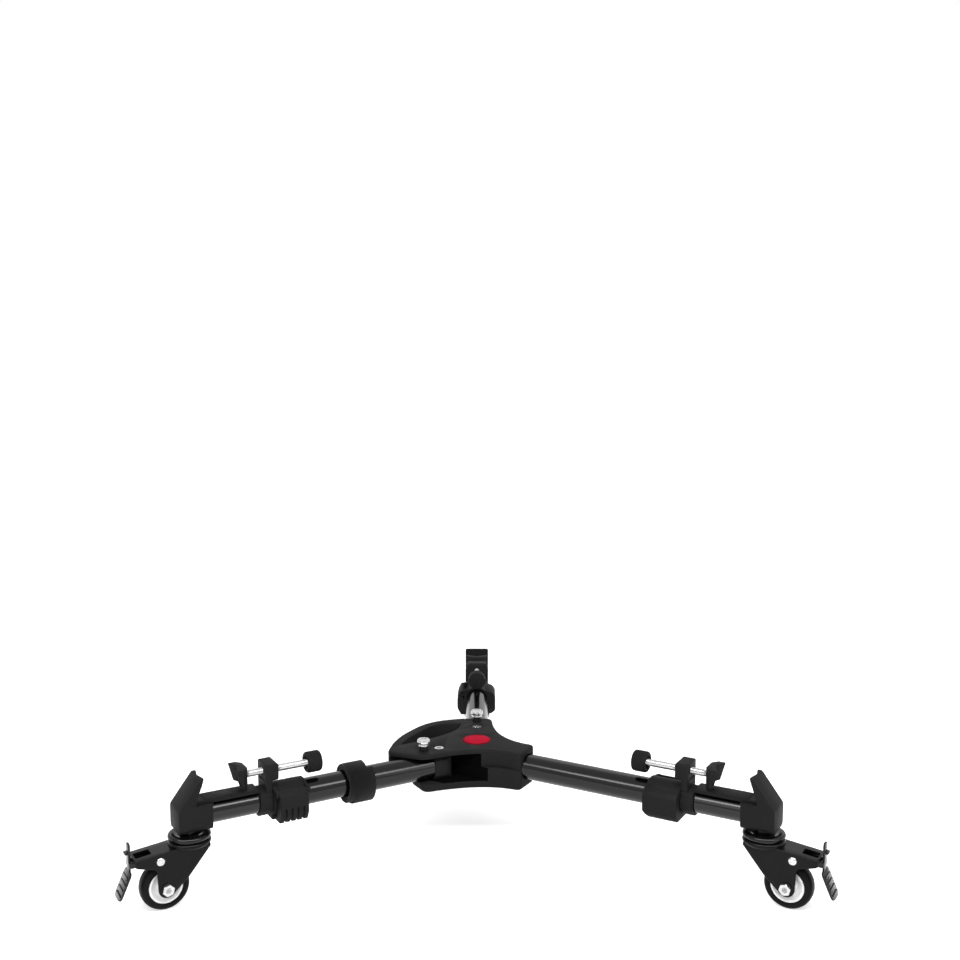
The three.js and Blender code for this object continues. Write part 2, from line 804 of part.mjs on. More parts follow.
// End cap: socket, leaning rest with a shallow groove, and the bed on top of the tube
function endCap() {
  const profile = sharp([
    [capStart, capBottom],
    [capEnd, capBottom],
    [capEnd, capCorner],
    [restTip + restTipThickness, restTop],
    [restTip, restTop],
    [restFoot, restFootHeight],
    [restFoot, capShoulder],
    [capStart, capShoulder],
  ]);
  const under = outline([
    { at: new THREE.Vector2(-capHalfWidth, capBottom), round: capUnderRound },
    { at: new THREE.Vector2(capHalfWidth, capBottom), round: capUnderRound },
    { at: new THREE.Vector2(capHalfWidth, restTop + overrun), round: overrun },
    { at: new THREE.Vector2(-capHalfWidth, restTop + overrun), round: overrun },
  ]);
  const body = slabY(profile, capHalfWidth).intersect(slabX(under, capStart - overrun, capEnd + overrun));
  const lean = Math.atan2(restFoot - restTip, restTop - restFootHeight);
  const restLength = Math.hypot(restFoot - restTip, restTop - restFootHeight);
  const groove = slabZ(sharp([
    [-overrun, -restGrooveHalfWidth],
    [0, -restGrooveHalfWidth],
    [restGrooveDepth, 0],
    [0, restGrooveHalfWidth],
    [-overrun, restGrooveHalfWidth],
  ]), 0, restLength + overrun)
    .rotate([0, -THREE.MathUtils.radToDeg(lean), 0]).translate([restFoot, 0, restFootHeight]);
  const bedStart = postStart + postRingLength + fitGap;
  const bed = block(bedStart, restFoot + overrun, bedHalfWidth, bedSkirt, bedTop);
  const pad = block(padStart, padEnd, padHalfWidth, bedTop - padHeight, bedTop + padHeight);
  const socket = rodX(innerTubeRadius + fitGap, postStart, capSocketEnd);
  const stemHole = rodZ(stemRadius + fitGap, capBottom - overrun, stemTop + fitGap,
    swivelReach, 0, smallFacets);
  return cut(join(cut(body, groove), bed, pad), socket, stemHole);
}

// Clamp post: a ring round the inner tube, a neck, and the block that holds the screw
function clampPost() {
  const ring = turnedX([
    [innerTubeRadius + fitGap, postStart],
    [postRingRadius, postStart],
    [postRingRadius, postStart + postRingLength],
    [innerTubeRadius + fitGap, postStart + postRingLength],
  ]);
  const blockEnd = postStart + postNeckLength;
  const profile = sharp([
    [postStart, innerTubeRadius],
    [blockEnd, innerTubeRadius],
    [blockEnd, postBlockTop],
    [blockEnd - postBlockLength + postChamfer, postBlockTop],
    [blockEnd - postBlockLength, postBlockTop - postChamfer],
    [blockEnd - postBlockLength, postBlockBottom + postChamfer],
    [blockEnd - postBlockLength + postChamfer, postBlockBottom],
    [postStart, postBlockBottom],
  ]);
  const section = sharp([
    [-postHalfWidth, 0],
    [postHalfWidth, 0],
    [postHalfWidth, postBlockTop - postChamfer],
    [postHalfWidth - postChamfer, postBlockTop],
    [-postHalfWidth + postChamfer, postBlockTop],
    [-postHalfWidth, postBlockTop - postChamfer],
  ]);
  const upright = slabY(profile, postHalfWidth)
    .intersect(slabX(section, blockEnd - postBlockLength - overrun, blockEnd + overrun));
  const bore = rodX(innerTubeRadius + fitGap, postStart - overrun, postStart + postRingLength + overrun);
  const screwHole = rodX(screwRadius + fitGap, blockEnd - postBlockLength - overrun, blockEnd + overrun,
    0, screwHeight, smallFacets);
  return cut(join(ring, upright), bore, screwHole);
}

const knobEnd = knobStart + knobLength;

function clampScrew() {
  const end = jawBack + jawSocketDepth - fitGap;
  return rodX(screwRadius, knobStart + knobFloor, end, 0, screwHeight, smallFacets);
}

function clampKnob() {
  const bore = screwRadius + fitGap;
  const knob = turnedX([
    [0, knobStart],
    [knobRadius - knobChamfer, knobStart],
    [knobRadius, knobStart + knobChamfer],
    [knobRadius, knobEnd - knobChamfer],
    [knobRadius - knobChamfer, knobEnd],
    [knobRecessRadius, knobEnd],
    [knobRecessRadius, knobEnd - knobRecess],
    [bore, knobEnd - knobRecess],
    [bore, knobStart + knobFloor - fitGap],
    [0, knobStart + knobFloor - fitGap],
  ]);
  return knob.translate([0, 0, screwHeight]);
}

// Clamp jaw: a grooved head on a foot that slides along the bed
function clampJaw() {
  const head = slabY(sharp([
    [jawBack, jawBottom],
    [jawLowTip, jawBottom],
    [jawTip, jawTop],
    [jawBack, jawTop],
  ]), jawHalfWidth);
  const plan = sharp([
    [jawBack, -jawBackHalfWidth],
    [jawShoulder, -jawHalfWidth],
    [jawTip + overrun, -jawHalfWidth],
    [jawTip + overrun, jawHalfWidth],
    [jawShoulder, jawHalfWidth],
    [jawBack, jawBackHalfWidth],
  ]);
  const lean = Math.atan2(jawTip - jawLowTip, jawTop - jawBottom);
  const groove = slabZ(sharp([
    [-jawGroove, 0],
    [0, -jawHalfWidth],
    [jawHalfWidth, -jawHalfWidth],
    [jawHalfWidth, jawHalfWidth],
    [0, jawHalfWidth],
  ]), -jawTop, jawTop).rotate([0, THREE.MathUtils.radToDeg(lean), 0]).translate([jawLowTip, 0, jawBottom]);
  const footBottom = bedTop + padHeight + fitGap;
  const footTop = jawTop - jawFootLength;
  const foot = block(jawBack, jawBack + jawFootLength, jawFootHalfWidth, footBottom, footTop);
  const socket = rodX(screwRadius + fitGap, jawBack - overrun, jawBack + jawSocketDepth,
    0, screwHeight, smallFacets);
  const shaped = head.intersect(slabZ(plan, jawBottom, jawTop));
  return cut(join(cut(shaped, groove), cut(foot, groove)), socket);
}

// Caster top: stem, nut, upper race and kingpin
const nutTop = capBottom - fitGap;
const raceTop = nutTop - nutHeight;
const raceBottom = raceTop - raceHeight;
const lowerRaceTop = raceBottom - fitGap;
const forkTop = lowerRaceTop - raceHeight + sheet;
const forkUnder = forkTop - sheet;

function raceProfile(top) {
  const bottom = top - raceHeight;
  return [
    [raceRadius - raceRound, bottom],
    [raceRadius, bottom + raceRound],
    [raceRadius, top - raceRound],
    [raceRadius - raceRound, top],
  ];
}

function casterMount() {
  const race = turned([[0, raceBottom], ...raceProfile(raceTop), [0, raceTop]], wheelFacets);
  const kingpinTop = forkUnder - fitGap;
  const kingpinEnd = kingpinTop - kingpinHead;
  return join(
    race,
    rodZ(nutRadius, raceTop - fitGap, nutTop, 0, 0, hexSides),
    rodZ(stemRadius, raceTop - fitGap, stemTop, 0, 0, smallFacets),
    rodZ(kingpinRadius, kingpinEnd, raceBottom + fitGap, 0, 0, smallFacets),
    rodZ(kingpinHeadRadius, kingpinEnd, kingpinTop, 0, 0, smallFacets),
  );
}

// Fork: lower race, pressed arm with a slot, and two cheeks
function casterFork() {
  const hole = kingpinRadius + fitGap;
  const race = turned([
    [hole, lowerRaceTop - raceHeight],
    ...raceProfile(lowerRaceTop),
    [hole, lowerRaceTop],
  ], wheelFacets);
  const fullCircle = Math.PI * 2;
  const cheekOutline = new THREE.Shape();
  cheekOutline.moveTo(forkBack, forkTop);
  cheekOutline.lineTo(forkBack, forkBackHeight);
  cheekOutline.lineTo(forkWaistReach, forkWaistHeight);
  cheekOutline.absarc(axleReach, -axleDrop, cheekRadius, fullCircle * cheekTurnShare, fullCircle, false);
  cheekOutline.lineTo(archStartReach, archStartHeight);
  cheekOutline.quadraticCurveTo(archStartReach, archEndHeight, archEndReach, archEndHeight);
  cheekOutline.lineTo(armEndReach, armEndHeight);
  cheekOutline.lineTo(forkEnd, forkTop - forkDrop - forkLipDrop);
  cheekOutline.lineTo(forkEnd, forkTop - forkDrop);
  cheekOutline.lineTo(forkSlopeStart, forkTop);
  const fall = forkDrop / (forkEnd - forkSlopeStart);
  const channel = slabY(sharp([
    [forkBack - overrun, forkUnder],
    [forkBack - overrun, -axleDrop - slotReach],
    [forkEnd + overrun, -axleDrop - slotReach],
    [forkEnd + overrun, forkUnder - fall * (forkEnd + overrun - forkSlopeStart)],
    [forkSlopeStart, forkUnder],
  ]), forkHalfWidth - sheet);
  const slot = block(forkSlotStart, forkSlotEnd, forkSlotHalfWidth,
    forkUnder - forkDrop - overrun, forkTop + overrun);
  return cut(
    join(cut(slabY(cheekOutline, forkHalfWidth), channel, slot), race),
    rodZ(hole, forkUnder - overrun, lowerRaceTop + overrun, 0, 0, smallFacets),
    rodY(axleRadius + fitGap, -slotReach, slotReach, axleReach, -axleDrop),
    rodY(rivetRadius + fitGap, -slotReach, slotReach, rivetReach, rivetDrop),
  );
}

function axleBolt() {
  const seat = forkHalfWidth + fitGap;
  const ends = [[seat, seat + hexHeight], [-seat - hexHeight, -seat]];
  return join(
    rodY(axleRadius, -seat - hexHeight / 2, seat + hexHeight / 2, axleReach, -axleDrop),
    ...ends.map(([y0, y1]) => rodY(hexRadius, y0, y1, axleReach, -axleDrop, hexSides)),
  );
}

function brakeRivet() {
  const seat = forkHalfWidth + fitGap;
  const ends = [[seat, seat + rivetHeadHeight], [-seat - rivetHeadHeight, -seat]];
  return join(
    rodY(rivetRadius, -seat - rivetHeadHeight / 2, seat + rivetHeadHeight / 2, rivetReach, rivetDrop),
    ...ends.map(([y0, y1]) => rodY(rivetHeadRadius, y0, y1, rivetReach, rivetDrop)),
  );
}

function wheelRim() {
  const bore = axleRadius + fitGap;
  const face = wheelHalfWidth;
  const rim = turnedY([
    [bore, -face],
    [rimHubRadius, -face],
    [rimHubRadius, -face + rimDish],
    [rimRadius - rimLip, -face + rimDish],
    [rimRadius - rimLip, -face + tyreFace],
    [rimRadius, -face + tyreFace],
    [rimRadius, face - tyreFace],
    [rimRadius - rimLip, face - tyreFace],
    [rimRadius - rimLip, face - rimDish],
    [rimHubRadius, face - rimDish],
    [rimHubRadius, face],
    [bore, face],
  ]);
  return rim.translate([axleReach, 0, -axleDrop]);
}

function wheelTyre() {
  const seat = rimRadius + fitGap;
  const face = wheelHalfWidth;
  const tyre = turnedY([
    [seat, -face],
    [wheelRadius - tyreShoulder, -face],
    [wheelRadius - tyreShoulder * tyreShares.edge, -face + tyreShoulder * tyreShares.flank],
    [wheelRadius, -face + tyreShoulder * tyreShares.crown],
    [wheelRadius, face - tyreShoulder * tyreShares.crown],
    [wheelRadius - tyreShoulder * tyreShares.edge, face - tyreShoulder * tyreShares.flank],
    [wheelRadius - tyreShoulder, face],
    [seat, face],
  ]);
  return tyre.translate([axleReach, 0, -axleDrop]);
}

// Brake pedal: a barrel on the rivet, an arm inside the fork, a foot plate and a release tab
function brakePedal() {
  const plateEnd = pedalPlateStart + pedalPlate;
  const armTop = forkUnder - forkDrop - pedalArmClearance;
  const armBottom = armTop - pedalArmDepth;
  const arm = block(rivetReach, plateEnd, pedalArmHalfWidth, armBottom, armTop);
  const tab = block(pedalPlateStart, plateEnd, tabHalfWidth, pedalBend - pedalPlate, tabTop);
  const lip = block(pedalPlateStart, plateEnd + tabLipReach, tabHalfWidth,
    tabLipHeight - tabLip, tabLipHeight);
  const slope = new THREE.Vector2(pedalFootReach - pedalPlateStart, pedalFootHeight - pedalBend);
  const foot = outline([
    { at: new THREE.Vector2(0, -pedalHalfWidth), round: pedalShoulderRound },
    { at: new THREE.Vector2(slope.length(), -pedalHalfWidth), round: pedalToeRound },
    { at: new THREE.Vector2(slope.length(), pedalHalfWidth), round: pedalToeRound },
    { at: new THREE.Vector2(0, pedalHalfWidth), round: pedalShoulderRound },
  ]);
  const tilt = THREE.MathUtils.radToDeg(Math.atan2(-slope.y, slope.x));
  const plate = slabZ(foot, 0, pedalPlate).rotate([0, tilt, 0]).translate([pedalPlateStart, 0, pedalBend]);
  return cut(
    join(
      rodY(pedalBarrelRadius, -pedalBarrelHalfWidth, pedalBarrelHalfWidth, rivetReach, rivetDrop),
      arm, tab, lip, plate,
    ),
    rodY(rivetRadius + fitGap, -slotReach, slotReach, rivetReach, rivetDrop),
  );
}

// Strap wound round the left tube
function strap() {
  return turnedX([
    [outerTubeRadius + fitGap, strapStart],
    [strapRadius - strapRound, strapStart],
    [strapRadius, strapStart + strapRound],
    [strapRadius, strapEnd - strapRound],
    [strapRadius - strapRound, strapEnd],
    [outerTubeRadius + fitGap, strapEnd],
  ]);
}

// One arm, along +X, turned to its place
function addArm(arm) {
  const folds = arm in foldTurns;
  const group = new THREE.Group();
  group.rotation.z = THREE.MathUtils.degToRad(armAngles[arm]);
  hub.add(group);
  if (folds) addPiece(group, `knuckle_${arm}`, knuckle(), blackPlastic);
  const tubeStart = folds ? foldingTubeStart : fixedTubeStart;
  addPiece(group, `outer_tube_${arm}`, outerTube(tubeStart, folds), glossBlack);
  addPiece(group, `lock_collar_${arm}`, lockCollar(), blackPlastic);
  addPiece(group, `lock_lever_${arm}`, lockLever(), blackPlastic);
  addPiece(group, `inner_tube_${arm}`, innerTube(), glossBlack);
  addPiece(group, `end_cap_${arm}`, endCap(), blackPlastic);
  addPiece(group, `clamp_post_${arm}`, clampPost(), blackPlastic);
  addPiece(group, `clamp_screw_${arm}`, clampScrew(), brightSteel);
  addPiece(group, `clamp_knob_${arm}`, clampKnob(), blackPlastic);
  addPiece(group, `clamp_jaw_${arm}`, clampJaw(), blackPlastic);

  const caster = new THREE.Group();
  caster.position.x = swivelReach;
  group.add(caster);
  addPiece(caster, `caster_mount_${arm}`, casterMount(), blackSteel);
  addPiece(caster, `caster_fork_${arm}`, casterFork(), blackSteel);
  addPiece(caster, `axle_bolt_${arm}`, axleBolt(), brightSteel);
  addPiece(caster, `brake_rivet_${arm}`, brakeRivet(), brightSteel);
  addPiece(caster, `brake_pedal_${arm}`, brakePedal(), blackSteel);
  addPiece(caster, `wheel_rim_${arm}`, wheelRim(), rimSilver);
  addPiece(caster, `wheel_tyre_${arm}`, wheelTyre(), tyreRubber);
  return group;
}

addArm('rear');
addArm('right');
addPiece(addArm('left'), 'strap', strap(), strapFabric);

// The origin is the middle of the footprint, on the ground
whole.updateMatrixWorld(true);
const footprint = new THREE.Box3().setFromObject(whole, true).getCenter(new THREE.Vector3());
whole.position.set(-footprint.x, -footprint.y, 0);

export default whole;
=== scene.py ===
# %% [markdown]
# # A folding tripod dolly
# The dolly is packed as sixty solid pieces that already move on their joints. This lesson
# dresses them: each cell makes one real piece again with smooth edges and fine detail, and
# puts it exactly where its solid is. Everything is in metres in the file, but the sizes of a
# dolly are easier to think of in millimetres, so the helpers take millimetres.

import math

import bpy
from mathutils import Matrix, Vector


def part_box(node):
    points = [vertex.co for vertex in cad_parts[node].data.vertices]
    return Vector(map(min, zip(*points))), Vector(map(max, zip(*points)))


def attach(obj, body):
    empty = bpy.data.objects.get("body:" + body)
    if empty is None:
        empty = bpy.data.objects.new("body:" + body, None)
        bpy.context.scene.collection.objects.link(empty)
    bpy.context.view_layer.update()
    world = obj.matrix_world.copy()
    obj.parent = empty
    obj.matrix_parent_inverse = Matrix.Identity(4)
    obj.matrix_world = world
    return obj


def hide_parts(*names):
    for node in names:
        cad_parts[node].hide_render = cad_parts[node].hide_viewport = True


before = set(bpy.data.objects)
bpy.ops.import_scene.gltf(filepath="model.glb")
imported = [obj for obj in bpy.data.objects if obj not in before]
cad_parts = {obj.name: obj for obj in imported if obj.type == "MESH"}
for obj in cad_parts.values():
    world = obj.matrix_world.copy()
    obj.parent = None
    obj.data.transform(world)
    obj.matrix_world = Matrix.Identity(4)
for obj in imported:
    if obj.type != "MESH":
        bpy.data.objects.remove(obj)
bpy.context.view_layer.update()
MM = 0.001
AXLE_DROP, WHEEL_RADIUS = 71.6, 26.6
TUBE_HEIGHT = AXLE_DROP + WHEEL_RADIUS
badge_low, badge_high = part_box("hub_badge")
HUB_X = (badge_low[0] + badge_high[0]) / 2 / MM
HUB_Y = (badge_low[1] + badge_high[1]) / 2 / MM
LEFT, REAR, RIGHT = 210, 90, 330
ARM_ANGLES = {"left": LEFT, "rear": REAR, "right": RIGHT}
ARM_BODY = {"left": "arm_left", "rear": "arm_rear", "right": "frame"}
FOLDING_ARMS = ("left", "rear")

# %% [markdown]
# The camera comes first, because every later choice is judged through it. The photograph was
# taken from about one and a half metres away, twenty degrees above the tubes, with a lens a
# little longer than normal. A camera looks along its own -Z: turned by 90 degrees about X it
# looks level, and a few degrees less let it look down.

# %% Camera
CAMERA_DISTANCE, CAMERA_RISE = 1485.0, math.radians(19.97)
LOOK_DOWN, LOOK_ASIDE = 6.65, -0.16
FOCAL_PIXELS, PICTURE_PIXELS, SENSOR_WIDTH = 1166, 960, 36
hub_point = Vector((HUB_X, HUB_Y, TUBE_HEIGHT)) * MM
back = Vector((0, -math.cos(CAMERA_RISE), math.sin(CAMERA_RISE)))
bpy.ops.object.camera_add(location=hub_point + back * CAMERA_DISTANCE * MM)
camera = bpy.context.object
camera.name = "photo_camera"
camera.data.sensor_width = SENSOR_WIDTH
camera.data.lens = SENSOR_WIDTH * FOCAL_PIXELS / PICTURE_PIXELS
camera.data.clip_start = 0.05
camera.rotation_euler = (math.radians(90 - LOOK_DOWN), 0, math.radians(LOOK_ASIDE))
scene = bpy.context.scene
scene.camera = camera
print("camera with a lens of", round(camera.data.lens, 1), "mm")

# %% [markdown]
# A studio picture of a black object on white needs large soft lamps, because black gloss shows
# nothing but what it reflects. One long lamp overhead draws the bright line along each tube.
# The other lamps are weak, and only lift the sides that the long one leaves dark.

# %% Lamps
def area_lamp(name, size, place, aim, power):
    bpy.ops.object.light_add(type="AREA", location=place)
    lamp = bpy.context.object
    lamp.name = name
    lamp.data.shape = "RECTANGLE"
    lamp.data.size, lamp.data.size_y = size
    lamp.data.energy = power
    lamp.rotation_euler = (Vector(aim) - Vector(place)).to_track_quat("-Z", "Y").to_euler()
    print("lamp", name, "of", power, "W")


area_lamp("strip_over", (3.4, 0.36), (0.0, -1.16, 1.42), (0, -0.1, 0), 50)
area_lamp("soft_over", (1.8, 0.8), (0.0, 1.3, 1.5), (0, -0.1, 0), 3)
area_lamp("soft_front", (1.2, 0.8), (-0.9, -1.9, 1.0), (0, -0.1, 0.05), 5)
area_lamp("soft_right", (0.7, 0.9), (1.7, -1.0, 0.8), (0, 0, 0.05), 4)
scene.view_settings.view_transform = "Standard"


# %% [markdown]
# Materials are sums and products of patterns. Written as nodes they are hard to read, so one
# small class wraps a node's output and lets Python's own signs build the Math nodes. Every
# other node comes from one method that sets its options first and then its sockets.

# %% Shader helper
class Wire:
    """A node's output that can be added, multiplied and so on."""

    def __init__(self, paint, socket):
        self.paint, self.socket = paint, socket

    def beside(self, output):
        """Another output of the same node."""
        return Wire(self.paint, self.socket.node.outputs[output])

    def __add__(self, other): return self.paint.math("ADD", self, other)
    def __radd__(self, other): return self.paint.math("ADD", other, self)
    def __sub__(self, other): return self.paint.math("SUBTRACT", self, other)
    def __rsub__(self, other): return self.paint.math("SUBTRACT", other, self)
    def __mul__(self, other): return self.paint.math("MULTIPLY", self, other)
    def __rmul__(self, other): return self.paint.math("MULTIPLY", other, self)
    def __gt__(self, other): return self.paint.math("GREATER_THAN", self, other)


class Paint:
    """The nodes of a material, or of a world, under construction."""
    looks = {}

    def __init__(self, name, owners=bpy.data.materials):
        self.owner = self.looks[name] = owners.new(name)
        self.owner.use_nodes = True
        self.tree = self.owner.node_tree
        print("painting", name)

    def node(self, kind, options=None, sockets=None, output=0):
        made = self.tree.nodes.new(kind)
        for key, value in (options or {}).items():
            setattr(made, key, value)
        for key, value in (sockets or {}).items():
            self.plug(made.inputs[key], value)
        return Wire(self, made.outputs[output])

    def plug(self, socket, value):
        if isinstance(value, Wire):
            self.tree.links.new(value.socket, socket)
        else:
            socket.default_value = value

    def set(self, sockets, node="Principled BSDF"):
        """Fill sockets of a node that every new material or world starts with."""
        for key, value in sockets.items():
            self.plug(self.tree.nodes[node].inputs[key], value)

    def math(self, operation, *values):
        return self.node("ShaderNodeMath", {"operation": operation}, dict(enumerate(values)))

    def place(self, scale=(1, 1, 1)):
        local = self.node("ShaderNodeAttribute", {"attribute_name": "arm_place"}, output=1)
        return self.node("ShaderNodeMapping", {}, {"Vector": local, "Scale": scale})

    def noise(self, scale, detail=3, stretch=(1, 1, 1), roughness=0.5):
        return self.node("ShaderNodeTexNoise", {}, {
            "Vector": self.place(stretch), "Scale": scale, "Detail": detail,
            "Roughness": roughness})

    def blend(self, share, first, second):
        return self.node("ShaderNodeMix", {"data_type": "RGBA"}, {0: share, 6: first, 7: second}, 2)

    def bump(self, height, distance, strength):
        self.set({"Normal": self.node("ShaderNodeBump", {}, {
            "Height": height, "Distance": distance, "Strength": strength})})


def grey(value):
    """A colour given as it should look on the screen, from 0 to 255."""
    linear = ((value / 255 + 0.055) / 1.055) ** 2.4
    return (linear, linear, linear, 1)


# %% [markdown]
# The hub is moulded plastic with a fine spark-eroded grain: a very small bump, and a slightly
# uneven sheen where hands have rubbed it. Patterns are read from an attribute that holds each
# point's place along its own arm, so the same material fits all three arms. The walls of the
# hub's two slots carry painted shade: near-black, for the shade deep in the hollow moulding, and
# duller.

# %% Plastics
SIN_30, COS_30 = 0.5, 0.866
SLOT_OFFSET, SLOT_START = 0.0459, -0.03
WALL_REACH, WALL_RISE = 0.0169, 0.0161


def within(value, reach):
    """1 where a value lies between -reach and reach."""
    return value.paint.math("COMPARE", value, 0.0, reach)


def slot_shade_mask(paint):
    """1 on the walls of the two slots, which run beside the fixed arm at 330 degrees: where shade
    is painted.
    """
    split = paint.node("ShaderNodeSeparateXYZ", {}, {0: paint.place()})
    x, y, z = (split.beside(axis) for axis in range(3))
    across, along = x * SIN_30 + y * COS_30, x * COS_30 - y * SIN_30
    off_middle = paint.math("ABSOLUTE", across) - SLOT_OFFSET
    return within(off_middle, WALL_REACH) * within(z, WALL_RISE) * (along > SLOT_START)


def moulded(name, shade, roughness, specular, painted_slot_shade=False):
    paint = Paint(name)
    grain = paint.noise(1400, 2)
    clouds = paint.noise(22, 4)
    rubbed = paint.noise(60, 3, (1, 1, 0.4))
    skin = paint.blend(clouds, grey(shade * 0.9), grey(shade * 1.1))
    gloss = rubbed * 0.16 + (roughness - 0.08)
    if painted_slot_shade:
        # Painted shade: the slot walls are blended to near-black grey(2) for the shade inside the
        # slots, and made rougher.
        inside = slot_shade_mask(paint)
        skin = paint.blend(inside, skin, grey(2))
        gloss = gloss + inside * 0.45
    paint.set({"Base Color": skin, "Roughness": gloss, "Specular IOR Level": specular})
    paint.bump(grain, 0.00006, 0.5)


moulded("hub_plastic", 30, 0.55, 0.03, painted_slot_shade=True)
moulded("plastic_black", 28, 0.55, 0.05)
moulded("knob_plastic", 26, 0.6, 0.05)

# %% [markdown]
# The tubes are drawn aluminium with a glossy black coat. Drawing leaves faint lines along
# the tube, so their noise is stretched along the arm. Painted steel is as dark and smooth,
# but has no such lines.

# %% Tubes and painted steel
ALONG_TUBE = (0.02, 1, 1)


def glossy_coat(name, shade, roughness, specular, stretch=(1, 1, 1), scratches=0.02):
    paint = Paint(name)
    drawn = paint.noise(420, 3, stretch)
    dust = paint.noise(35, 5)
    paint.set({"Base Color": paint.blend(dust, grey(shade), grey(shade * 1.5)),
               "Roughness": drawn * scratches + dust * 0.06 + roughness,
               "Specular IOR Level": specular})
    paint.bump(drawn, 0.00001, 0.15)


glossy_coat("tube_black", 3, 0.12, 0.3, ALONG_TUBE, 0.04)
glossy_coat("inner_black", 3, 0.1, 0.34, ALONG_TUBE, 0.04)
glossy_coat("steel_black", 6, 0.1, 0.25)
glossy_coat("fork_black", 7, 0.2, 0.12)


# %% [markdown]
# Bolts, screws and caps are plated steel: almost fully metallic, with fine turning marks in
# the roughness. The rims are painted silver, which is brighter and duller, and hardly metallic.

# %% Bright metals
def bright_metal(name, shade, roughness, metallic):
    paint = Paint(name)
    marks = paint.noise(900, 2, (1, 0.15, 1))
    tarnish = paint.noise(70, 4)
    paint.set({"Base Color": paint.blend(tarnish, grey(shade), grey(shade * 0.86)),
               "Metallic": metallic, "Roughness": marks * 0.1 + tarnish * 0.08 + roughness})
    paint.bump(marks, 0.00001, 0.3)


bright_metal("steel_bright", 205, 0.1, 0.9)
bright_metal("rim_silver", 246, 0.35, 0.1)


# %% [markdown]
# The tyre is smooth dark polyurethane with a moulding skin that shines a little, and dust
# that dulls the tread.

# %% Tyre
def tyre_skin():
    paint = Paint("tyre_black")
    skin = paint.noise(160, 4)
    dust = paint.noise(28, 5, roughness=0.65)
    paint.set({"Base Color": paint.blend(dust, grey(12), grey(24)),
               "Roughness": skin * 0.12 + dust * 0.2 + 0.22, "Specular IOR Level": 0.05})
    paint.bump(skin, 0.00008, 0.25)


tyre_skin()


# %% [markdown]
# The badge is a resin dome over red metallic ink, with painted shade that darkens it toward its
# edge where the dome curves away. The flakes are a fine cell pattern that lightens single spots,
# and the resin is a thin clear coat.

# %% Badge ink
RIM_SHADE_START, RIM_SHADE_END, RIM_SHADE_SHARE = 0.0135, 0.0172, 0.75


def badge_resin():
    paint = Paint("badge_red")
    flakes = paint.node("ShaderNodeTexVoronoi", {}, {"Vector": paint.place(), "Scale": 1500})
    depth = paint.noise(45, 2)
    reach = paint.node("ShaderNodeVectorMath", {"operation": "LENGTH"},
                       {0: paint.place((1, 1, 0))}, "Value")
    # Painted shade: a dark ring toward the dome's edge, where it curves away from the lamps.
    edge = paint.node("ShaderNodeMapRange", {}, {
        "Value": reach, "From Min": RIM_SHADE_START, "From Max": RIM_SHADE_END, "To Min": 0.0,
        "To Max": RIM_SHADE_SHARE})
    deep = paint.blend(depth, (0.3, 0.0, 0.012, 1), (0.44, 0.0, 0.02, 1))
    bright = paint.blend((flakes > 0.62) * 0.3, deep, (0.62, 0.0, 0.04, 1))
    paint.set({"Base Color": paint.blend(edge, bright, (0.1, 0.0, 0.006, 1)),
               "Roughness": depth * 0.06 + 0.3,
               "Coat Weight": 0.1, "Coat Roughness": 0.03, "Specular IOR Level": 0.0})


badge_resin()


# %% [markdown]
# The strap is woven hook-and-loop tape. Its threads run along and across the tape, so the
# weave is read from the strap's own UV map, whose units are metres of tape.

# %% Woven tape
def woven_tape():
    paint = Paint("strap_fabric")
    tape = paint.node("ShaderNodeUVMap", {"uv_map": "tape"})
    around = paint.node("ShaderNodeSeparateXYZ", {}, {0: tape})

    def thread(wire, pitch):
        return paint.math("SINE", wire * (2 * math.pi / pitch))

    weave = thread(around, 0.0009) * thread(around.beside(1), 0.0007) * 0.5 + 0.5
    fuzz = paint.noise(1100, 4)
    height = weave * 0.7 + fuzz * 0.5
    paint.set({"Base Color": paint.blend(height, grey(5), grey(18)),
               "Roughness": fuzz * 0.15 + 0.8, "Sheen Weight": 0.15,
               "Specular IOR Level": 0.05})
    paint.bump(height, 0.00025, 0.8)


woven_tape()


# %% [markdown]
# A real floor would show a horizon, so a wide disc of white card carries the soft shadow and
# fades into a white world. The camera, metal and glass see both as white. To all other rays
# the card is plain and the world is dim, so that they add little light of their own.

# %% Floor and world
DIM_WORLD, WHITE = 0.25, (1, 1, 1, 1)
FADE_START, FADE_END, NEAR_GLOW = 0.5, 1.6, 0.62


def white_rays(paint):
    """1 for the rays that find everything white, 0 for those that carry light about."""
    camera_ray = paint.node("ShaderNodeLightPath", output="Is Camera Ray")
    mirrored = paint.math("MAXIMUM", camera_ray, camera_ray.beside("Is Glossy Ray"))
    return paint.math("MAXIMUM", mirrored, camera_ray.beside("Is Transmission Ray"))


sky = Paint("studio_world", bpy.data.worlds)
scene.world = sky.owner
strength = sky.node("ShaderNodeMix", {}, {"Factor": white_rays(sky), "A": DIM_WORLD, "B": 1.0})
sky.set({"Color": WHITE, "Strength": strength}, "Background")

bpy.ops.object.select_all(action="DESELECT")
bpy.ops.mesh.primitive_circle_add(vertices=96, radius=6, fill_type="NGON", location=(0, 0, 0))
floor = bpy.context.object
floor.name = "floor_card"
card = Paint("white_card")
card.set({"Base Color": (0.86, 0.86, 0.86, 1), "Roughness": 0.9})
spot = card.node("ShaderNodeTexCoord", output="Object")
distance = card.node("ShaderNodeVectorMath", {"operation": "LENGTH"}, {0: spot}, "Value")
fade = card.node("ShaderNodeMapRange", {}, {
    "Value": distance, "From Min": FADE_START, "From Max": FADE_END, "To Min": NEAR_GLOW,
    "To Max": 1.0})
glow = card.node("ShaderNodeEmission", {}, {"Color": WHITE, "Strength": fade})
matte = Wire(card, card.tree.nodes["Principled BSDF"].outputs[0])
lit = card.node("ShaderNodeAddShader", {}, {0: matte, 1: glow})
shown = card.node("ShaderNodeMixShader", {}, {0: white_rays(card), 1: matte, 2: lit})
card.set({0: shown}, "Material Output")
floor.data.materials.append(card.owner)


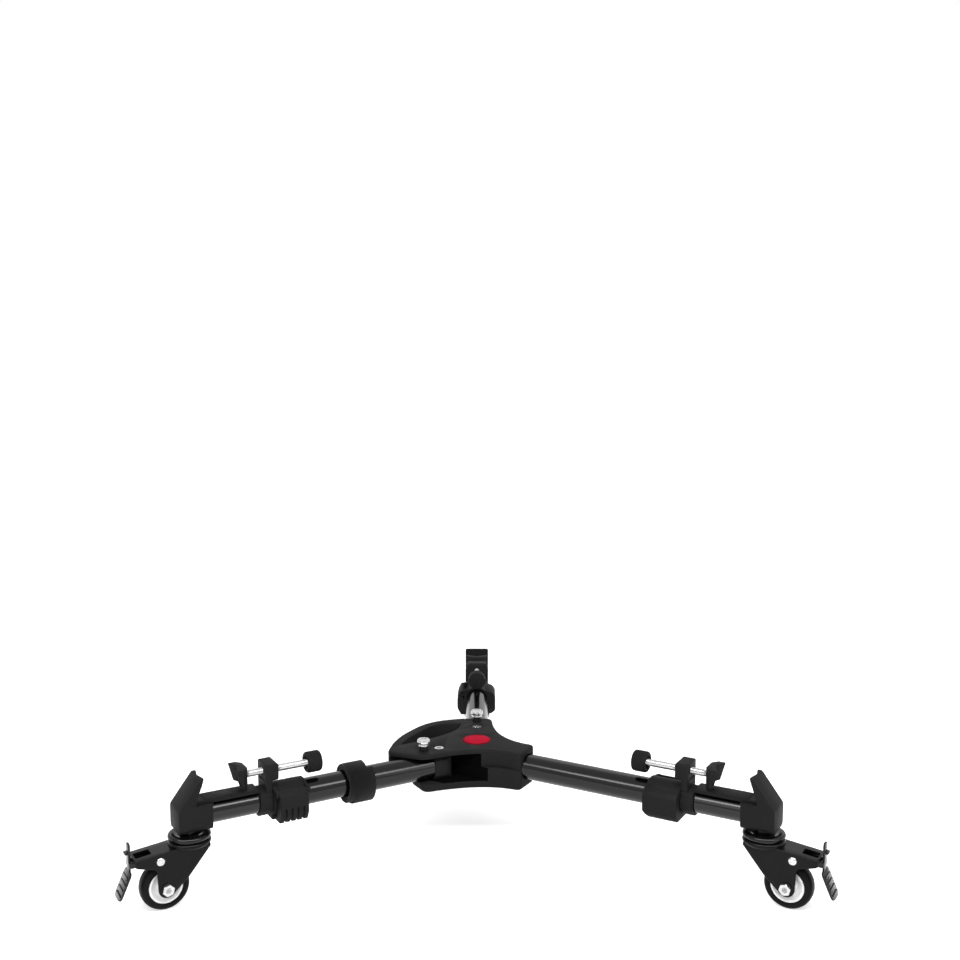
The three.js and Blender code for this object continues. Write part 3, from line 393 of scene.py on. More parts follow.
# %% [markdown]
# Modelling helpers. Each one adds a primitive, shapes it in edit mode and leaves one closed
# mesh at the origin. An outline starts as a circle with as many corners as the outline has,
# whose corners are moved into place and then extruded, which is how one would trace a shape
# by hand.

# %% Modelling helpers
def clear():
    if bpy.context.object and bpy.context.object.mode != "OBJECT":
        bpy.ops.object.mode_set(mode="OBJECT")
    bpy.ops.object.select_all(action="DESELECT")


def only(piece):
    clear()
    piece.select_set(True)
    bpy.context.view_layer.objects.active = piece
    return piece


def edit(piece):
    only(piece)
    bpy.ops.object.mode_set(mode="EDIT")
    bpy.ops.mesh.select_all(action="SELECT")


def leave(piece):
    bpy.ops.object.mode_set(mode="OBJECT")
    return piece


def outward(piece):
    edit(piece)
    bpy.ops.mesh.normals_make_consistent(inside=False)
    return leave(piece)


def modify(piece, kind, **settings):
    only(piece)
    modifier = piece.modifiers.new(kind.lower(), kind)
    for key, value in settings.items():
        setattr(modifier, key, value)
    bpy.ops.object.modifier_apply(modifier=modifier.name)
    return piece


def loose_edges(piece):
    """Edges that don't lie between exactly two faces, of which a closed piece has none."""
    uses = {}
    for polygon in piece.data.polygons:
        for key in polygon.edge_keys:
            uses[key] = uses.get(key, 0) + 1
    return sum(1 for count in uses.values() if count != 2)


def volume(piece):
    total = 0.0
    for polygon in piece.data.polygons:
        corners = [piece.data.vertices[i].co for i in polygon.vertices]
        for second, third in zip(corners[1:], corners[2:]):
            total += corners[0].dot(second.cross(third)) / 6
    return total / MM ** 3


def close_up(piece, threshold=0.000004):
    """Merge what a spin, boolean or bevel leaves doubled, so that the skin is closed."""
    edit(piece)
    bpy.ops.mesh.remove_doubles(threshold=threshold)
    bpy.ops.mesh.dissolve_degenerate(threshold=threshold / 2)
    bpy.ops.mesh.delete_loose(use_verts=True, use_edges=True, use_faces=False)
    return leave(piece)


def soften(piece, width, segments=2, angle=35):
    """Round every edge sharper than the angle, less where the full width would tear the skin."""
    was_closed = not loose_edges(piece)
    for share in (1, 0.7, 0.45, 0.25):
        sharp = piece.data.copy()
        modify(piece, "BEVEL", width=width * share * MM, segments=segments, limit_method="ANGLE",
               angle_limit=math.radians(angle), use_clamp_overlap=True)
        close_up(piece)
        if not (was_closed and loose_edges(piece)):
            return piece
        piece.data = sharp
    print("left sharp:", piece.name)
    return piece


def traced(name, corners, fill):
    """A circle whose corners are moved into place, left in edit mode."""
    clear()
    bpy.ops.mesh.primitive_circle_add(vertices=len(corners), radius=1, fill_type=fill)
    piece = bpy.context.object
    piece.name = piece.data.name = name
    for vertex, corner in zip(piece.data.vertices, corners):
        vertex.co = [length * MM for length in corner]
    edit(piece)
    return piece


def raised(name, points, low, high):
    """An outline of (x, y) points raised from one level to another along Z."""
    piece = traced(name, [(x, y, low) for x, y in points], "NGON")
    bpy.ops.mesh.extrude_region_move(TRANSFORM_OT_translate={"value": (0, 0, (high - low) * MM)})
    return outward(piece)


def turn(piece, axis, degrees):
    piece.data.transform(Matrix.Rotation(math.radians(degrees), 4, axis))
    return piece


def shift(piece, x=0, y=0, z=0):
    piece.data.transform(Matrix.Translation(Vector((x, y, z)) * MM))
    return piece


def side_slab(name, points, half_width):
    """An outline of (along, up) points spread to both sides of the arm."""
    return turn(raised(name, points, -half_width, half_width), "X", 90)


def end_slab(name, points, start, end):
    """An outline of (side, up) points stretched along the arm."""
    return turn(turn(raised(name, points, start, end), "X", 90), "Z", 90)


def spun(name, profile, steps=48, axis="Z"):
    """A closed profile of (radius, along) points spun round an axis."""
    piece = traced(name, [(radius, 0, along) for radius, along in profile], "NOTHING")
    bpy.ops.mesh.spin(steps=steps, angle=2 * math.pi, center=(0, 0, 0), axis=(0, 0, 1))
    outward(close_up(piece, 0.000002))
    if axis == "X":
        turn(piece, "Y", 90)
    if axis == "Y":
        turn(piece, "X", -90)
    return piece


def rod(name, radius, start, end, axis="Z", steps=32):
    return spun(name, [(0, start), (radius, start), (radius, end), (0, end)], steps, axis)


def combine(piece, other, operation):
    """A boolean, tried again with the second body moved by a hair if the result isn't closed."""
    first, size, other_size = piece.data.copy(), volume(piece), volume(other)
    least, most = {"UNION": (max(size, other_size) * 0.999, size + other_size),
                   "DIFFERENCE": (size * 0.2, size),
                   "INTERSECT": (1.0, min(size, other_size))}[operation]
    for attempt in range(6):
        if attempt:
            piece.data = first.copy()
            shift(other, 0.011, 0.007, -0.009)
        modify(piece, "BOOLEAN", operation=operation, solver="EXACT", object=other)
        close_up(piece)
        if not loose_edges(piece) and least <= volume(piece) <= most * 1.001:
            break
    else:
        print("look at", piece.name, operation, other.name, "with", loose_edges(piece),
              "loose edges and", round(volume(piece)), "mm3 of", round(size))
    bpy.data.objects.remove(other)
    return piece


def carve(piece, *cutters):
    for cutter in cutters:
        combine(piece, cutter, "DIFFERENCE")
    return piece


def fuse(piece, *others):
    for other in others:
        combine(piece, other, "UNION")
    return piece


def common(piece, other):
    return combine(piece, other, "INTERSECT")


def together(piece, *others):
    """Several closed shells kept as one object."""
    only(piece)
    for other in others:
        other.select_set(True)
    bpy.ops.object.join()
    return piece


def shade(piece, angle=38):
    only(piece)
    bpy.ops.object.shade_smooth_by_angle(angle=math.radians(angle))
    return piece


def bend(first, control, last, parts):
    """Points of a curve that leaves toward a control point and arrives from it."""
    shares = [i / parts for i in range(parts + 1)]
    return [first * (1 - t) ** 2 + control * 2 * t * (1 - t) + last * t * t for t in shares]


def corner_curve(points, steps=6):
    """Points (x, y, round) become an outline whose corners are rounded by that length.
    A point without a rounding pulls the outline into one curve between its neighbours."""
    made = []

    def toward(start, end):
        start_v, end_v = Vector(start[:2]), Vector(end[:2])
        return start_v + (end_v - start_v).normalized() * start[2]

    for i, point in enumerate(points):
        before, after = points[i - 1], points[(i + 1) % len(points)]
        control = Vector(point[:2])
        if len(point) == 2:
            made += bend(toward(before, point), control, toward(after, point), steps * 3)
        elif point[2] == 0:
            made.append(control)
        else:
            made += bend(toward(point, before), control, toward(point, after), steps)
    return [(p.x, p.y) for i, p in enumerate(made) if (p - made[i - 1]).length > 0.05]


def rectangle(left, right, low, high):
    return [(left, low), (right, low), (right, high), (left, high)]


def rounded(points, lengths, steps=4):
    """The same outline, each corner rounded by its own length."""
    return corner_curve([(x, y, length) for (x, y), length in zip(points, lengths)], steps)


def arc(x, y, radius, first, last, parts):
    angles = [math.radians(first + (last - first) * i / parts) for i in range(parts + 1)]
    return [(x + radius * math.cos(a), y + radius * math.sin(a)) for a in angles]


# %% [markdown]
# A piece is modelled on an arm that lies along X with the tube's axis at height zero, and is
# then copied to each arm. The copy remembers the modelled place of each point in an attribute
# for the materials, and its own mesh is turned and moved, so the object stays at the origin.


def put(piece, name, angle, body, node, look):
    copy = piece.copy()
    copy.data = piece.data.copy()
    copy.name = copy.data.name = name
    bpy.context.collection.objects.link(copy)
    place = copy.data.attributes.new("arm_place", "FLOAT_VECTOR", "POINT")
    for vertex, value in zip(copy.data.vertices, place.data):
        value.vector = vertex.co
    copy.data.transform(Matrix.Rotation(math.radians(angle), 4, "Z"))
    copy.data.transform(Matrix.Translation(hub_point))
    copy.data.materials.append(Paint.looks[look])
    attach(copy, body)
    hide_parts(node)


def done(piece, node, places):
    print(node, "made with", len(piece.data.polygons), "faces,", places)
    bpy.data.objects.remove(piece)


def on_each_arm(piece, node, body, look, arms=tuple(ARM_ANGLES)):
    for arm in arms:
        body_name = ARM_BODY[arm] if body == "arm" else f"{body}_{arm}"
        put(piece, f"{node}_{arm}_shown", ARM_ANGLES[arm], body_name, f"{node}_{arm}", look)
    done(piece, node, f"on {len(arms)} arms")


def on_hub(piece, node, body, look):
    put(piece, f"{node}_shown", 0, body, node, look)
    done(piece, node, "on the hub")


# %% [markdown]
# The hub is two shells, cast with three lobes. Its outline is traced in plan: each lobe is a
# rounded square end and the sides between the lobes sweep in to a narrow waist. The upper
# shell carries the handle, a bar that runs round from the rear lobe to the left one.

# %% Hub outlines
def ahead(angle, along, side=0.0):
    """The point that lies so far along, and to the side of, a direction in plan."""
    c, s = math.cos(math.radians(angle)), math.sin(math.radians(angle))
    return (c * along - s * side, s * along + c * side)


HUB_TOP, HUB_BOTTOM = 21.0, -26.0
TUBE_RADIUS, TUBE_WALL, TUBE_BORE = 15, 1.3, 15.3
INNER_RADIUS, INNER_BORE = 13.4, 13.7
PIVOT, INDEX, HANDLE_BAR = 53.0, 74.0, 15.5
SLOT_HALF_HEIGHT, SLOT_HALF_WIDTH, LOBE_HALF_WIDTH = 15.8, 16.5, 19.5


def lobe(angle, reach, rounding):
    return [ahead(angle, reach, side) + (rounding,) for side in (-LOBE_HALF_WIDTH, LOBE_HALF_WIDTH)]


def waist(start, end, angle, reach):
    middle = (Vector(start[:2]) + Vector(end[:2])) / 2
    control = Vector(ahead(angle, 2 * reach)) - middle
    return (control.x, control.y)


fixed_lobe, rear_lobe, left_lobe = lobe(RIGHT, 71, 8), lobe(REAR, 84, 10), lobe(LEFT, 84, 10)
right_side = waist(fixed_lobe[1], rear_lobe[0], 30, 39)
front_side = waist(left_lobe[1], fixed_lobe[0], 270, 39)
base_front = waist(left_lobe[1], fixed_lobe[0], 270, 43)
rear_bend, left_bend = ahead(REAR, 72, 64), ahead(LEFT, 83.5, -57.4)
handle_bends = [rear_bend + (30,), left_bend + (30,), ahead(LEFT, 114.5, -17.6) + (9,)]
top_outline = corner_curve([*fixed_lobe, right_side, *rear_lobe, *handle_bends, left_lobe[1],
                            front_side])
base_outline = corner_curve([*fixed_lobe, right_side, *rear_lobe,
                             waist(rear_lobe[1], left_lobe[0], 150, 45), *left_lobe, base_front])


def inward(corner, rounding):
    """The inner side of the handle's bar at one of its outer corners."""
    v = Vector(corner[:2])
    v *= (v.length - HANDLE_BAR) / v.length
    return (v.x, v.y, rounding)


left_tip, rear_tip = ahead(LEFT, 90.9, -30.5) + (4,), ahead(REAR, 62, 21) + (4,)
gap_outline = corner_curve([left_tip, inward(handle_bends[1], 18), inward(handle_bends[0], 18),
                            rear_tip, waist(rear_tip, left_tip, 150, 45)])
print("hub outline has", len(top_outline), "points, finger gap", len(gap_outline))


# %% [markdown]
# Between the shells lie the slots that the folding arms swing in. Each is the area that the
# arm sweeps about its pivot, cut out as one thick slice.

# %% Slots for the folding arms
FOLD_ANGLE, SWEEP_REACH, SWEEP_STEPS = 120, 150, 12


def swept_slot(start, way):
    px, py = ahead(start, PIVOT)
    turns = [i / SWEEP_STEPS for i in range(SWEEP_STEPS + 1)]
    spots = [ahead(start + way * FOLD_ANGLE * t, SWEEP_REACH) for t in turns]
    spots += [ahead(start + way * (210 + 60 * t), SLOT_HALF_WIDTH) for t in turns]
    slot = raised("slot", [(px + x, py + y) for x, y in spots],
                  -SLOT_HALF_HEIGHT, SLOT_HALF_HEIGHT)
    for angle in (start, start + way * FOLD_ANGLE):
        strip = raised("strip", rectangle(0, SWEEP_REACH, -SLOT_HALF_WIDTH, SLOT_HALF_WIDTH),
                       -SLOT_HALF_HEIGHT, SLOT_HALF_HEIGHT)
        fuse(slot, shift(turn(strip, "Z", angle), px, py))
    return slot


def arm_room():
    """The two swept slots and the socket of the fixed arm's tube."""
    socket = turn(rod("socket", TUBE_BORE, 33.7, SWEEP_REACH, "X"), "Z", RIGHT)
    return swept_slot(LEFT, 1), swept_slot(REAR, -1), socket


def on_folding_arms(radius, low, high, along=PIVOT):
    """A bore through the hub for each folding arm."""
    return [shift(rod("bore", radius, low, high), *ahead(ARM_ANGLES[arm], along))
            for arm in FOLDING_ARMS]


# %% [markdown]
# The upper shell: the outline is raised, its edges are rounded by a bevel that only touches
# the sharp top edges, the finger gap and everything below the middle are cut away, and the
# holes follow.

# %% Upper shell of the hub
PARTING_LAP = 0.1
HEAD_HOLE, BOLT_HOLE, BUSH_HOLE, POCKET = 6.9, 4.3, 4.5, 24


def rounded_plate(name, outline, low, high, edge):
    return soften(raised(name, outline, low, high), edge, 5, 50)


def finger_gap(low, high):
    """The opening between the handle and the hub, longer than the plate that it cuts."""
    return raised("gap", gap_outline, low - 5, high + 5)


def half_space(low, high):
    return raised("half", rectangle(-200, 200, -200, 200), low, high)


def finish_shell(shell, node, cut_low, cut_high, *bores):
    carve(shell, half_space(cut_low, cut_high), *arm_room(), *bores)
    soften(shell, 0.5, 2, 60)
    on_hub(shade(shell, 30), node, "frame", "hub_plastic")


upper = rounded_plate("upper", top_outline, -HUB_TOP, HUB_TOP, 2.4)
carve(upper, finger_gap(-HUB_TOP, HUB_TOP))
finish_shell(upper, "hub_top", -60, PARTING_LAP, rod("pocket", POCKET, -3, 16),
             rod("badge_seat", 17.8, 19.6, 24, steps=64), *on_folding_arms(HEAD_HOLE, 17.6, 24),
             *on_folding_arms(BOLT_HOLE, -3, 24), *on_folding_arms(BUSH_HOLE, -3, 24, INDEX))

# %% [markdown]
# The lower shell is the same outline without the handle, with a wide rounded edge below. A
# shallower plate with the handle's outline closes the hand grip from below.

# %% Lower shell of the hub
lower = rounded_plate("lower", base_outline, HUB_BOTTOM, -HUB_BOTTOM, 6.0)
grip = rounded_plate("grip", top_outline, -8, 8, 3.0)
carve(grip, finger_gap(-8, 8))
fuse(lower, grip)
finish_shell(lower, "hub_base", -PARTING_LAP, 60, rod("pocket", POCKET, -21, 3),
             *on_folding_arms(HEAD_HOLE, -30, -22.6), *on_folding_arms(BOLT_HOLE, -30, 3))

# %% [markdown]
# The badge is a resin dome. A spun profile with many short steps makes the dome, and its
# rim stands in the recess of the upper shell.

# %% Badge
BADGE_RADIUS, BADGE_EDGE, DOME_RISE = 17.5, 21.2, 1.4
dome = [(0, 19.9), (17.3, 19.9), (BADGE_RADIUS, 20.2), (BADGE_RADIUS, BADGE_EDGE)]
for t in range(1, 10):
    angle = t * math.pi / 20
    dome.append((BADGE_RADIUS * math.cos(angle), BADGE_EDGE + DOME_RISE * math.sin(angle)))
dome += [(0, BADGE_EDGE + DOME_RISE)]
on_hub(shade(spun("badge", dome, 72), 40), "hub_badge", "frame", "badge_red")


# %% [markdown]
# Each folding arm turns on a bolt with a round socket head above and a hexagon nut below.
# The socket is a hexagonal hole carved into the head.

# %% Pivot bolts
def hexagon(radius, turned_by=0):
    return [ahead(60 * i + turned_by, radius) for i in range(6)]


def pivot_bolt():
    head = spun("head", [(0, 17.9), (5.7, 17.9), (6, 18.2), (6, 19.8), (5.5, 20.3), (0, 20.3)], 40)
    carve(head, raised("key", hexagon(2.9), 18.8, 22))
    shank = rod("shank", 4, -24, 18.4)
    nut = soften(raised("nut", hexagon(6), -25.3, -22.9), 0.35)
    return shade(together(head, shank, nut))


for arm in FOLDING_ARMS:
    bolt = shift(pivot_bolt(), *ahead(ARM_ANGLES[arm], PIVOT))
    on_hub(bolt, f"pivot_bolt_{arm}", "frame", "steel_bright")

# %% [markdown]
# The index pins lock the arms. A black bush is screwed into the upper shell, and a plated
# cap with a waist sits on the pin, so that two fingers can pull it up.

# %% Index pins and bushes
for arm in FOLDING_ARMS:
    spot = ahead(ARM_ANGLES[arm], INDEX)
    bush = shade(spun("bush", [
        (2.9, 16.1), (4.2, 16.1), (4.2, 21.3), (5.3, 21.3), (5.6, 21.6), (5.6, 23.2), (4.9, 23.6),
        (4.9, 25.2), (4.5, 26.5), (2.9, 26.5)], 36))
    on_hub(shift(bush, *spot), f"index_bush_{arm}", "frame", "plastic_black")
    cap = [(0, 15.3), (2.6, 15.3), (2.6, 26.8), (6.4, 26.8), (6.7, 27.2), (6.4, 29.0),
           (6.9, 29.9), (7.8, 30.5), (8, 31.3), (8, 32.8), (7.6, 33.9), (6.6, 34.7), (5.2, 35.0),
           (0, 35.0)]
    pin = shade(spun("pin", cap, 48), 30)
    carve(pin, rod("dimple", 3.4, 34.4, 38))
    on_hub(shift(pin, *spot), f"index_pin_{arm}", f"pin_{arm}", "steel_bright")

# %% [markdown]
# The tubes are spun from a thin closed profile, so they have a real wall and a small break
# on each end. The folding arms' tubes carry the hole for the index pin.

# %% Tubes
def tube(name, radius, start, end):
    inner = radius - TUBE_WALL
    return spun(name, [(inner, start), (radius - 0.3, start), (radius, start + 0.3),
                       (radius, end - 0.3), (radius - 0.3, end), (inner, end)], 72, "X")


folding_tube = tube("folding_tube", TUBE_RADIUS, 66, 266)
carve(folding_tube, shift(rod("pin_hole", 2.9, 11, 18), INDEX))
on_each_arm(shade(folding_tube), "outer_tube", "arm", "tube_black", FOLDING_ARMS)
fixed_tube = shade(tube("fixed_tube", TUBE_RADIUS, 34, 266))
on_each_arm(fixed_tube, "outer_tube", "arm", "tube_black", ("right",))
inner_tube = shade(tube("inner_tube", INNER_RADIUS, 130, 351))
on_each_arm(inner_tube, "inner_tube", "slide", "inner_black")


# %% [markdown]
# The knuckle is the tongue of a folding arm: a flat-topped block with a round nose, chamfered
# along its length, whose plug fills the end of the tube.

# %% Knuckles
def knuckle():
    top = 15.5
    nose = arc(PIVOT, 0, TUBE_RADIUS, 90, 270, 20)
    tongue = raised("knuckle", nose + [(65.7, -15), (65.7, 15)], -top, top)
    section = [(-15, -9), (-9.5, -top), (9.5, -top), (15, -9), (15, 9), (9.5, top), (-9.5, top),
               (-15, 9)]
    common(tongue, end_slab("section", section, 0, 120))
    soften(tongue, 0.6)
    fuse(tongue, rod("plug", INNER_RADIUS, 60, 88, "X"))
    carve(tongue, shift(rod("bore", BOLT_HOLE, -20, 20), PIVOT))
    return shade(tongue)


on_each_arm(knuckle(), "knuckle", "arm", "plastic_black", FOLDING_ARMS)

# %% [markdown]
# The lock collar is one moulding: a barrel round the end of the outer tube, with an ear on
# one side. The ear's inner end runs out in a slope. Hinge lugs for the lever stand on the
# other side.

# %% Lock collars
COLLAR_START, COLLAR_END = 229.0, 269.5
LEVER_SIDE, LEVER_UP = 20.4, 10.0


def lock_collar():
    barrel = spun("lock_collar", [
        (0, COLLAR_START), (17.2, COLLAR_START), (18, COLLAR_START + 0.8), (18, 262),
        (17.6, 262.4), (17.6, 263.2), (18, 263.6), (18, COLLAR_END - 0.8), (17.2, COLLAR_END),
        (0, COLLAR_END)], 64, "X")
    ear = end_slab("ear", corner_curve([
        (-20.5, -22, 2.5), (9, -22, 0), (9, 0, 0), (0, 15, 0), (-20.5, 12, 4), (-26.5, 6, 4),
        (-26.5, -16, 4)]), COLLAR_START - 4, COLLAR_END - 0.05)
    slope = side_slab("slope", [
        (COLLAR_START + 0.05, 33), (COLLAR_START + 0.05, -13), (COLLAR_START + 6.3, -22.5),
        (COLLAR_START + 6.6, -25), (COLLAR_END + 4, -25), (COLLAR_END + 4, 33)], 30)
    common(ear, slope)
    soften(ear, 0.8, 3)
    fuse(barrel, ear)
    lug_outline = [(0, 0.2), *arc(LEVER_SIDE, LEVER_UP, 4, -90, 90, 12), (0, 17.8)]
    for start in (COLLAR_START + 0.1, COLLAR_END - 3.5):
        fuse(barrel, soften(end_slab("lug", lug_outline, start, start + 3.4), 0.4))
    carve(barrel, rod("bore", TUBE_BORE, 220, 280, "X", 64))
    carve(barrel, shift(rod("pin_bore", 1.9, 220, 280, "X"), 0, LEVER_SIDE, LEVER_UP))
    return shade(barrel, 32)


on_each_arm(lock_collar(), "lock_collar", "arm", "plastic_black")


# %% [markdown]
# The flip lever hooks round the collar and ends in a lip with finger ridges. The ridges are
# what is left standing between grooves that are carved across the lip.

# %% Lock levers
RIDGE_PITCH = 7


def lock_lever():
    start, end = COLLAR_START + 3.8, COLLAR_END - 3.8
    section = corner_curve([
        (20.4, 13.6, 1.6), (19.7, 6.4, 0.5), (18.6, 0, 0.5), (13.4, -13, 1), (9.3, -19.6, 0),
        (9.3, -22.6, 0), (22.6, -22.6, 1.5), (28, -13, 2.5), (28, 0, 3), (25.6, 10, 2)], 5)
    plate = soften(end_slab("lock_lever", section, start, end), 0.7)
    carve(plate, rod("clear", 18.3, start - 5, end + 5, "X", 64))
    groove_outline = corner_curve([
        (25.8, -6.5, 1.5), (31, -4.5, 0), (31, -26, 0), (13.4, -26, 0), (13.4, -20.4, 0),
        (22.6, -20.4, 1.5), (25.8, -13, 2)], 4)
    for i in range(4):
        place = (start + end) / 2 + (i - 1.5) * RIDGE_PITCH
        groove = end_slab("groove", groove_outline, place - 1.3, place + 1.3)
        carve(plate, soften(groove, 0.3))
    barrel = shift(rod("barrel", 3.6, start, end, "X"), 0, LEVER_SIDE, LEVER_UP)
    pins = shift(rod("pins", 1.6, start - 2.4, end + 2.4, "X"), 0, LEVER_SIDE, LEVER_UP)
    return shade(together(plate, barrel, pins), 32)


on_each_arm(lock_lever(), "lock_lever", "lever", "plastic_black")


# %% [markdown]
# The end cap is the most shaped moulding: a socket block for the tube, a rest that leans in
# over the tube with a shallow groove for a round foot, and a bed on which the jaw slides.

# %% End caps
CASTER_X, BED_TOP = 361.0, 17
REST_X, REST_UP, TIP_X, TIP_UP = 357, 18, 348, 43.2


def end_cap():
    side = corner_curve([
        (339, -15.5, 1.2), (376.5, -15.5, 2), (376.5, 10.5, 2.5), (351.4, TIP_UP, 0.6),
        (TIP_X, TIP_UP, 0.5), (REST_X, REST_UP, 2), (357, 13, 1), (339, 13, 1)], 4)
    body = side_slab("end_cap", side, 17.2)
    under = rounded(rectangle(-17.2, 17.2, -15.6, 43.1), (8, 8, 3, 3), 6)
    common(body, end_slab("under", under, 330, 380))
    lean = math.degrees(math.atan2(REST_X - TIP_X, TIP_UP - REST_UP))
    groove = raised("groove", [(-6, -13), (0, -13), (1.3, -6.5), (2.1, -3), (2.6, 0), (2.1, 3),
                               (1.3, 6.5), (0, 13), (-6, 13)], -1.0, 34)
    carve(body, shift(turn(groove, "Y", -lean), REST_X, 0, REST_UP))
    soften(body, 0.5, 2, 40)
    bed = end_slab("bed", rounded(rectangle(-11.7, 11.7, 13, BED_TOP), (0, 0, 1.2, 1.2), 3),
                   284.8, 360)
    fuse(body, soften(bed, 0.4))
    fuse(body, soften(side_slab("rib", rectangle(338.2, 357, 12.0, 13.4), 17.0), 0.3))
    carve(body, rod("socket", INNER_BORE, 260, 351.3, "X", 64))
    carve(body, shift(rod("stem_hole", 5.3, -20, 1.3), CASTER_X))
    pad = raised("pad", rounded(rectangle(314, 346, -10.2, 10.2), [2] * 4), BED_TOP - 0.6,
                 BED_TOP + 0.5)
    return shade(together(body, soften(pad, 0.35)), 30)


on_each_arm(end_cap(), "end_cap", "slide", "plastic_black")


# %% [markdown]
# The clamp post stands on a ring round the inner tube. Its neck is narrower than the block
# above, which is bored for the clamp screw.

# %% Clamp posts
SCREW_UP, SCREW_BORE = 33.5, 4.3


def clamp_post():
    ring = spun("clamp_post", [(0, 270), (16.3, 270), (16.8, 270.5), (16.8, 284),
                               (16.3, 284.5), (0, 284.5)], 64, "X")
    cheeks = rounded([(-16.3, -9), (16.3, -9), (15.5, 12), (-15.5, 12)], [3] * 4)
    fuse(ring, soften(end_slab("cheeks", cheeks, 270.2, 284.3), 0.5))
    profile = corner_curve([(270.3, 10, 0), (277.5, 10, 0), (277.5, 44, 1.2), (262.5, 44, 3),
                            (262.5, 25, 3), (270.3, 25, 1.5)], 4)
    upright = side_slab("upright", profile, 15)
    section = rounded(rectangle(-13.5, 13.5, 0, 43.9), (0, 0, 3, 3))
    common(upright, end_slab("section", section, 255, 290))
    soften(upright, 0.6)
    recess = rounded(rectangle(-9.5, 9.5, 24, 28), [2] * 4, 3)
    carve(upright, end_slab("recess", recess, 276.7, 279))
    fuse(ring, upright)
    carve(ring, rod("bore", INNER_BORE, 260, 290, "X", 64))
    carve(ring, shift(rod("screw_bore", SCREW_BORE, 255, 290, "X"), 0, 0, SCREW_UP))
    return shade(ring, 32)


on_each_arm(clamp_post(), "clamp_post", "slide", "plastic_black")

# %% [markdown]
# The clamp screw is an M8 rod. Its thread is a row of fine ridges one pitch apart, spun as one
# profile, which at this size looks the same as a true helix.

# %% Clamp screws and knobs
THREAD_PITCH = 1.25
thread = [(0, 211.5), (3.7, 211.5)]
ridge = 212.0
while ridge < 301:
    thread += [(4.0, ridge + 0.3), (4.0, ridge + 0.5), (3.45, ridge + 0.95), (3.45, ridge + 1.1)]
    ridge += THREAD_PITCH
thread += [(3.4, 302.2), (0, 302.2)]
clamp_screw = shade(shift(spun("clamp_screw", thread, 24, "X"), 0, 0, SCREW_UP), 60)
on_each_arm(clamp_screw, "clamp_screw", "screw", "steel_bright")


def clamp_knob():
    knob = spun("clamp_knob", [
        (0, 208.5), (9.8, 208.5), (11, 208.9), (11.7, 209.8), (12, 211.2), (12, 222.8),
        (11.7, 224.2), (11, 225.1), (10, 225.5), (8, 225.5), (8, 221.5), (4.3, 221.5),
        (4.3, 211.2), (0, 211.2)], 64, "X")
    for i in range(24):
        carve(knob, shift(rod("flute", 0.55, 211.4, 222.6, "X", 10), 0, *ahead(15 * i, 12.25)))
    teeth = [shift(soften(rod("tooth", 0.95, 221, 225.2, "X", 12), 0.3), 0,
                   *ahead(36 * i, 6.9)) for i in range(10)]
    together(knob, *teeth)
    return shade(shift(knob, 0, 0, SCREW_UP), 30)


on_each_arm(clamp_knob(), "clamp_knob", "screw", "knob_plastic")


# %% [markdown]
# The clamp jaw is a leaning head with a V notch for the foot. Seen from above its back is
# narrow and its sides flare to the full width. Its foot slides on the bed.

# %% Clamp jaws
FACE_FOOT, FACE_TOP = (305.5, 23), (311.5, 44)


def clamp_jaw():
    head = side_slab("clamp_jaw", [(297, 23), FACE_FOOT, FACE_TOP, (297, 44)], 16)
    plan = [(297, -9), (303, -16), (315, -16), (315, 16), (303, 16), (297, 9)]
    common(head, raised("plan", plan, 20, 46))
    lean = math.degrees(math.atan2(FACE_TOP[0] - FACE_FOOT[0], FACE_TOP[1] - FACE_FOOT[1]))
    sharp = [(-6.5, 0), (0, -14.5), (16, -16), (16, 16), (0, 14.5)]

    def notch(outline):
        cutter = turn(raised("notch", outline, -30, 44), "Y", lean)
        return shift(cutter, FACE_FOOT[0], 0, FACE_FOOT[1])

    carve(head, notch(rounded(sharp, (3, 0, 0, 0, 0), 5)))
    soften(head, 0.7, 3, 30)
    foot = soften(raised("foot", rectangle(297, 306, -8, 8), 17.8, 30), 0.6)
    carve(foot, notch(sharp))
    fuse(head, foot)
    carve(head, shift(rod("seat", SCREW_BORE, 290, 302.5, "X"), 0, 0, SCREW_UP))
    return shade(head, 30)


on_each_arm(clamp_jaw(), "clamp_jaw", "jaw", "plastic_black")

# %% [markdown]
# A swivel caster starts with its stem, nut and upper race, which stay with the arm. Below,
# the lower race turns on a ring of balls that the races hide.

# %% Caster stems and upper races
NUT_TOP = -15.8
RACE_TOP, RACE_HEIGHT, RACE_RADIUS = NUT_TOP - 2.8, 6.4, 23.3
RACE_BOTTOM = RACE_TOP - RACE_HEIGHT
LOWER_TOP = RACE_BOTTOM - 0.3
SHEET = 2.2
FORK_UNDER = LOWER_TOP - RACE_HEIGHT
FORK_TOP = FORK_UNDER + SHEET


def race_rim(top):
    """The half-round outer edge of a pressed race, from its top round to its underside."""
    half = RACE_HEIGHT / 2
    return arc(RACE_RADIUS - half, top - half, half, 90, -90, 12)


def caster_mount():
    race = spun("caster_mount", [
        (0, RACE_TOP - 1.2), (12.5, RACE_TOP - 1.2), (14.5, RACE_TOP - 0.9),
        (16.5, RACE_TOP - 0.1), *race_rim(RACE_TOP), (0, RACE_BOTTOM)], 64)
    nut = soften(raised("nut", hexagon(11, 12), RACE_TOP - 1.4, NUT_TOP), 0.5)
    stem = rod("stem", 5, RACE_TOP - 1.5, 1)
    pin = rod("pin", 6, FORK_UNDER - 2.3, RACE_BOTTOM + 0.3)
    head = spun("head", [(0, FORK_UNDER - 2.3), (8, FORK_UNDER - 2.3), (9, FORK_UNDER - 1.6),
                         (9, FORK_UNDER - 0.3), (0, FORK_UNDER - 0.3)], 32)
    return shift(shade(together(race, nut, stem, pin, head)), CASTER_X)


on_each_arm(caster_mount(), "caster_mount", "slide", "steel_black")


